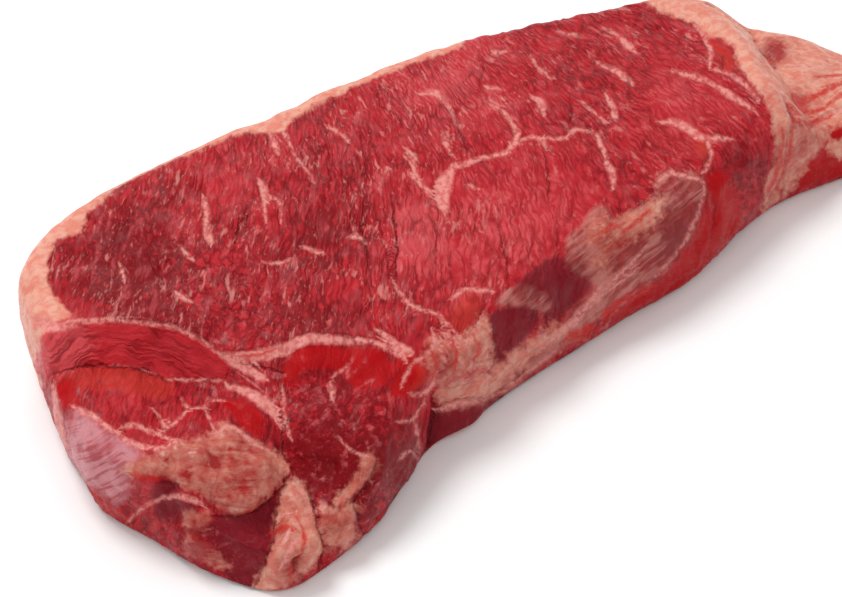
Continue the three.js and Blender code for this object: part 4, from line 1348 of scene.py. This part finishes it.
def flesh_colour(n):
    """Flesh in deep, full and pale tones, with its striped, orange, bright, dark and mottled places. The
    tone holds painted highlights on the bundle tops and the striped muscle's left end, and the dark places
    hold painted shade in hollows.
    """
    patches = n.off_middle(n.noise(n.place, *NOISE["patches"]))
    tone = n.plus(n.tone, n.times(patches, SHARE["patches in tone"]))
    tone = n.plus(tone, n.times(n.off_middle(n.muscle["Fibre"]), SHARE["fibre in tone"]))
    tone = n.plus(tone, n.times(n.off_middle(n.bend), SHARE["bend in tone"]))
    colour = n.mix(n.ramp(tone, "full flesh"), FLESH_DEEP, FLESH)
    colour = n.covered(n.area["striped"], "striped", colour, FLESH_STRIPED)
    colour = n.covered(n.ramp(tone, "pale"), "pale", colour, FLESH_PALE)
    # The dark finish is dark flesh in the patches and the flap, and painted shade in the hollows under the
    # lumps.
    for name, finish in (("orange", FLESH_ORANGE), ("bright", FLESH_BRIGHT), ("dark", FLESH_DARK_AND_PAINTED_SHADE)):
        colour = n.covered(n.area[name], name, colour, finish)
    scraps = n.ramp(n.noise(n.place, *NOISE["scraps"]), "scraps")
    for name, mask, finish in (("scraps", scraps, FILM), ("deep", n.ramp(n.bend, "deep"), FLESH_DEEP)):
        colour = n.covered(n.times(mask, n.area["mottled"]), name, colour, finish)
    return colour


def marbled(n, colour, lively):
    """Films between the bundles, painted shade in the grooves and cracks, and flecks of marbling over the
    flesh.
    """
    marked = n.area["dark"]
    for name in ("striped", "mottled", "bright", "orange"):
        marked = n.most(marked, n.area[name])
    plain = n.times(n.minus(1.0, marked), n.minus(1.0, n.calm))
    film = n.ramp(n.grain_noise("film"), "film")
    colour = n.covered(n.times(film, plain), "film", colour, FILM)
    # Grooves and cracks between bundles darken with painted shade.
    colour = n.covered(n.times(n.muscle["Groove"], lively), "groove", colour, GROOVE_SHADE)
    colour = n.covered(n.times(n.muscle["Crack"], lively), "crack", colour, CRACK_SHADE)
    where = n.times(n.off_middle(n.noise(n.place, *NOISE["where"])), SHARE["where in flecks"])
    for name in ("flecks", "specks"):
        flecks = n.ramp(n.plus(n.grain_noise(name), where), name)
        colour = n.covered(n.times(flecks, plain), name, colour, MARBLING)
    # Traced cracks darken with painted shade.
    return n.covered(n.crack, "traced crack", colour, CRACK_SHADE)


def skinned(n, colour):
    """Skins over the flesh, which shows through them in streaks."""
    streaks = n.plus(n.streak, n.cloud)
    skin_colour = n.mix(n.ramp(streaks, "skin"), SKIN_DEEP, SKIN_PALE)
    colour = n.covered(n.area["skin"], "skin", colour, skin_colour)
    streaks = n.plus(streaks, n.times(n.tone, SHARE["tone in scar"]))
    scar_colour = n.mix(n.ramp(streaks, "scar"), SCAR_DEEP, SCAR_PALE)
    return n.mix(n.times(n.area["scar"], n.ramp(streaks, "scar's share")), colour, scar_colour)


def fatted(n, colour):
    """Fat with its stains over all, redder in the hollows of its lobules as painted shade, then the seams
    of fat and the red lines.
    """
    tone = n.fat_look["Tone"]
    # Lower parts of the lobules get more stain: painted shade in their hollows.
    lobules = n.times(n.minus(MIDDLE, tone), SHARE["painted shade of hollows in blush"])
    blush = n.plus(n.off_middle(n.fat_look["Blush"]), lobules)
    blush = n.times(blush, n.plus(n.times(n.stain, SHARE["stain in blush"]), SHARE["blush"]))
    brushed = n.times(n.off_middle(n.streak), n.times(n.stain, SHARE["streak in stain"]))
    stain_and_shade = n.math("ADD", n.stain, n.plus(blush, brushed), clamp=True)
    fat_colour = n.mix(n.ramp(tone, "cream"), FAT_SALMON, FAT_CREAM)
    fat_colour = n.mix(stain_and_shade, fat_colour, FAT_STAIN)
    # Cracks through the fat darken to red with painted shade.
    fat_colour = n.covered(n.crack, "painted shade of cracks in fat", fat_colour, FAT_STAIN)
    colour = n.mix(n.area["fat"], colour, fat_colour)
    seam_colour = n.mix(n.ramp(n.plus(tone, n.breaks), "pale seam"), SEAM_DEEP, SEAM_PALE)
    colour = n.covered(n.seam, "seam", colour, seam_colour)
    return n.covered(n.red, "red", colour, FLESH_RED)


def finest_relief(n, lively):
    """The height that is finer than the mesh: bundles, lobules, cracks and brushed skin."""
    fat_height = n.times(n.fat_look["Height"], RISE["fat"])
    height = n.blend(n.area["fat"], n.times(n.muscle["Height"], lively), fat_height)
    beside = n.minus(n.attribute("seam_near"), n.seam_width)
    height = n.times(height, n.ramp(beside, "beside the seams"))
    height = n.minus(height, n.times(n.crack, RISE["traced crack"]))
    height = n.plus(height, n.times(n.flat_noise("fine"), RISE["fine"]))
    return n.plus(height, n.times(n.streak, n.times(n.area["scar"], RISE["scar"])))


def steak_material():
    material = bpy.data.materials.new("raw_beef")
    material.use_nodes = True
    tree = material.node_tree
    tree.nodes.clear()
    n = Beef(tree)
    quiet = n.most(n.most(n.calm, n.area["bright"]), n.times(n.area["mottled"], SHARE["calm in mottled"]))
    lively = n.minus(1.0, n.times(quiet, SHARE["calmed"]))
    colour = fatted(n, skinned(n, marbled(n, flesh_colour(n), lively)))
    bump = n.add("ShaderNodeBump", {
        "Height": finest_relief(n, lively), "Strength": RISE_STRENGTH, "Distance": RISE_UNIT,
    })
    stained_fat = n.times(n.times(n.area["fat"], n.stain), SHARE["stain in wetness"])
    shader = n.add("ShaderNodeBsdfPrincipled", {
        "Base Color": colour, "Normal": bump, "Roughness": n.ramp(n.breaks, "roughness"),
        "Coat Weight": n.plus(n.ramp(n.cloud, "wetness"), stained_fat),
    } | SHINE)
    output = tree.nodes.new("ShaderNodeOutputMaterial")
    tree.links.new(shader, output.inputs["Surface"])
    return material


# Floor and light


def add_floor():
    bpy.ops.mesh.primitive_plane_add(size=FLOOR_SIZE, location=(0, 0, 0))
    floor = bpy.context.object
    floor.name = "floor"
    material = bpy.data.materials.new("pale floor")
    material.use_nodes = True
    shader = material.node_tree.nodes["Principled BSDF"]
    shader.inputs["Base Color"].default_value = FLOOR_COLOUR
    shader.inputs["Roughness"].default_value = FLOOR_ROUGHNESS
    shader.inputs["Specular IOR Level"].default_value = FLOOR_SHINE
    floor.data.materials.append(material)


def add_light(name, place, size, power):
    data = bpy.data.lights.new(name, "AREA")
    data.shape = "DISK"
    data.size = size
    data.energy = power
    light = bpy.data.objects.new(name, data)
    bpy.context.scene.collection.objects.link(light)
    light.location = place
    light.rotation_euler = Vector(place).to_track_quat("Z", "Y").to_euler()


def add_lights():
    world = bpy.data.worlds.new("studio")
    bpy.context.scene.world = world
    world.use_nodes = True
    world.node_tree.nodes["Background"].inputs["Color"].default_value = WHITE
    world.node_tree.nodes["Background"].inputs["Strength"].default_value = AMBIENT
    add_light("key", KEY_PLACE, KEY_SIZE, KEY_POWER)
    add_light("back", BACK_PLACE, BACK_SIZE, BACK_POWER)


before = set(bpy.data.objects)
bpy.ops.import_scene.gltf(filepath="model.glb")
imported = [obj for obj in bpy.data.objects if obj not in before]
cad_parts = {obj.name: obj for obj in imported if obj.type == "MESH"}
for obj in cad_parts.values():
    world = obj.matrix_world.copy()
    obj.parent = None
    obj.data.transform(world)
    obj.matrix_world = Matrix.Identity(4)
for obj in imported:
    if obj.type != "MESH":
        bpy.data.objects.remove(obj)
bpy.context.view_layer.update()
bpy.context.scene.view_settings.view_transform = "Standard"

add_camera()
steak = smooth_copy(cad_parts["sirloin_steak"])
add_attributes(steak)
raise_relief(steak, steak_material())
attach(steak, "root")
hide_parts("sirloin_steak")
add_floor()
add_lights()
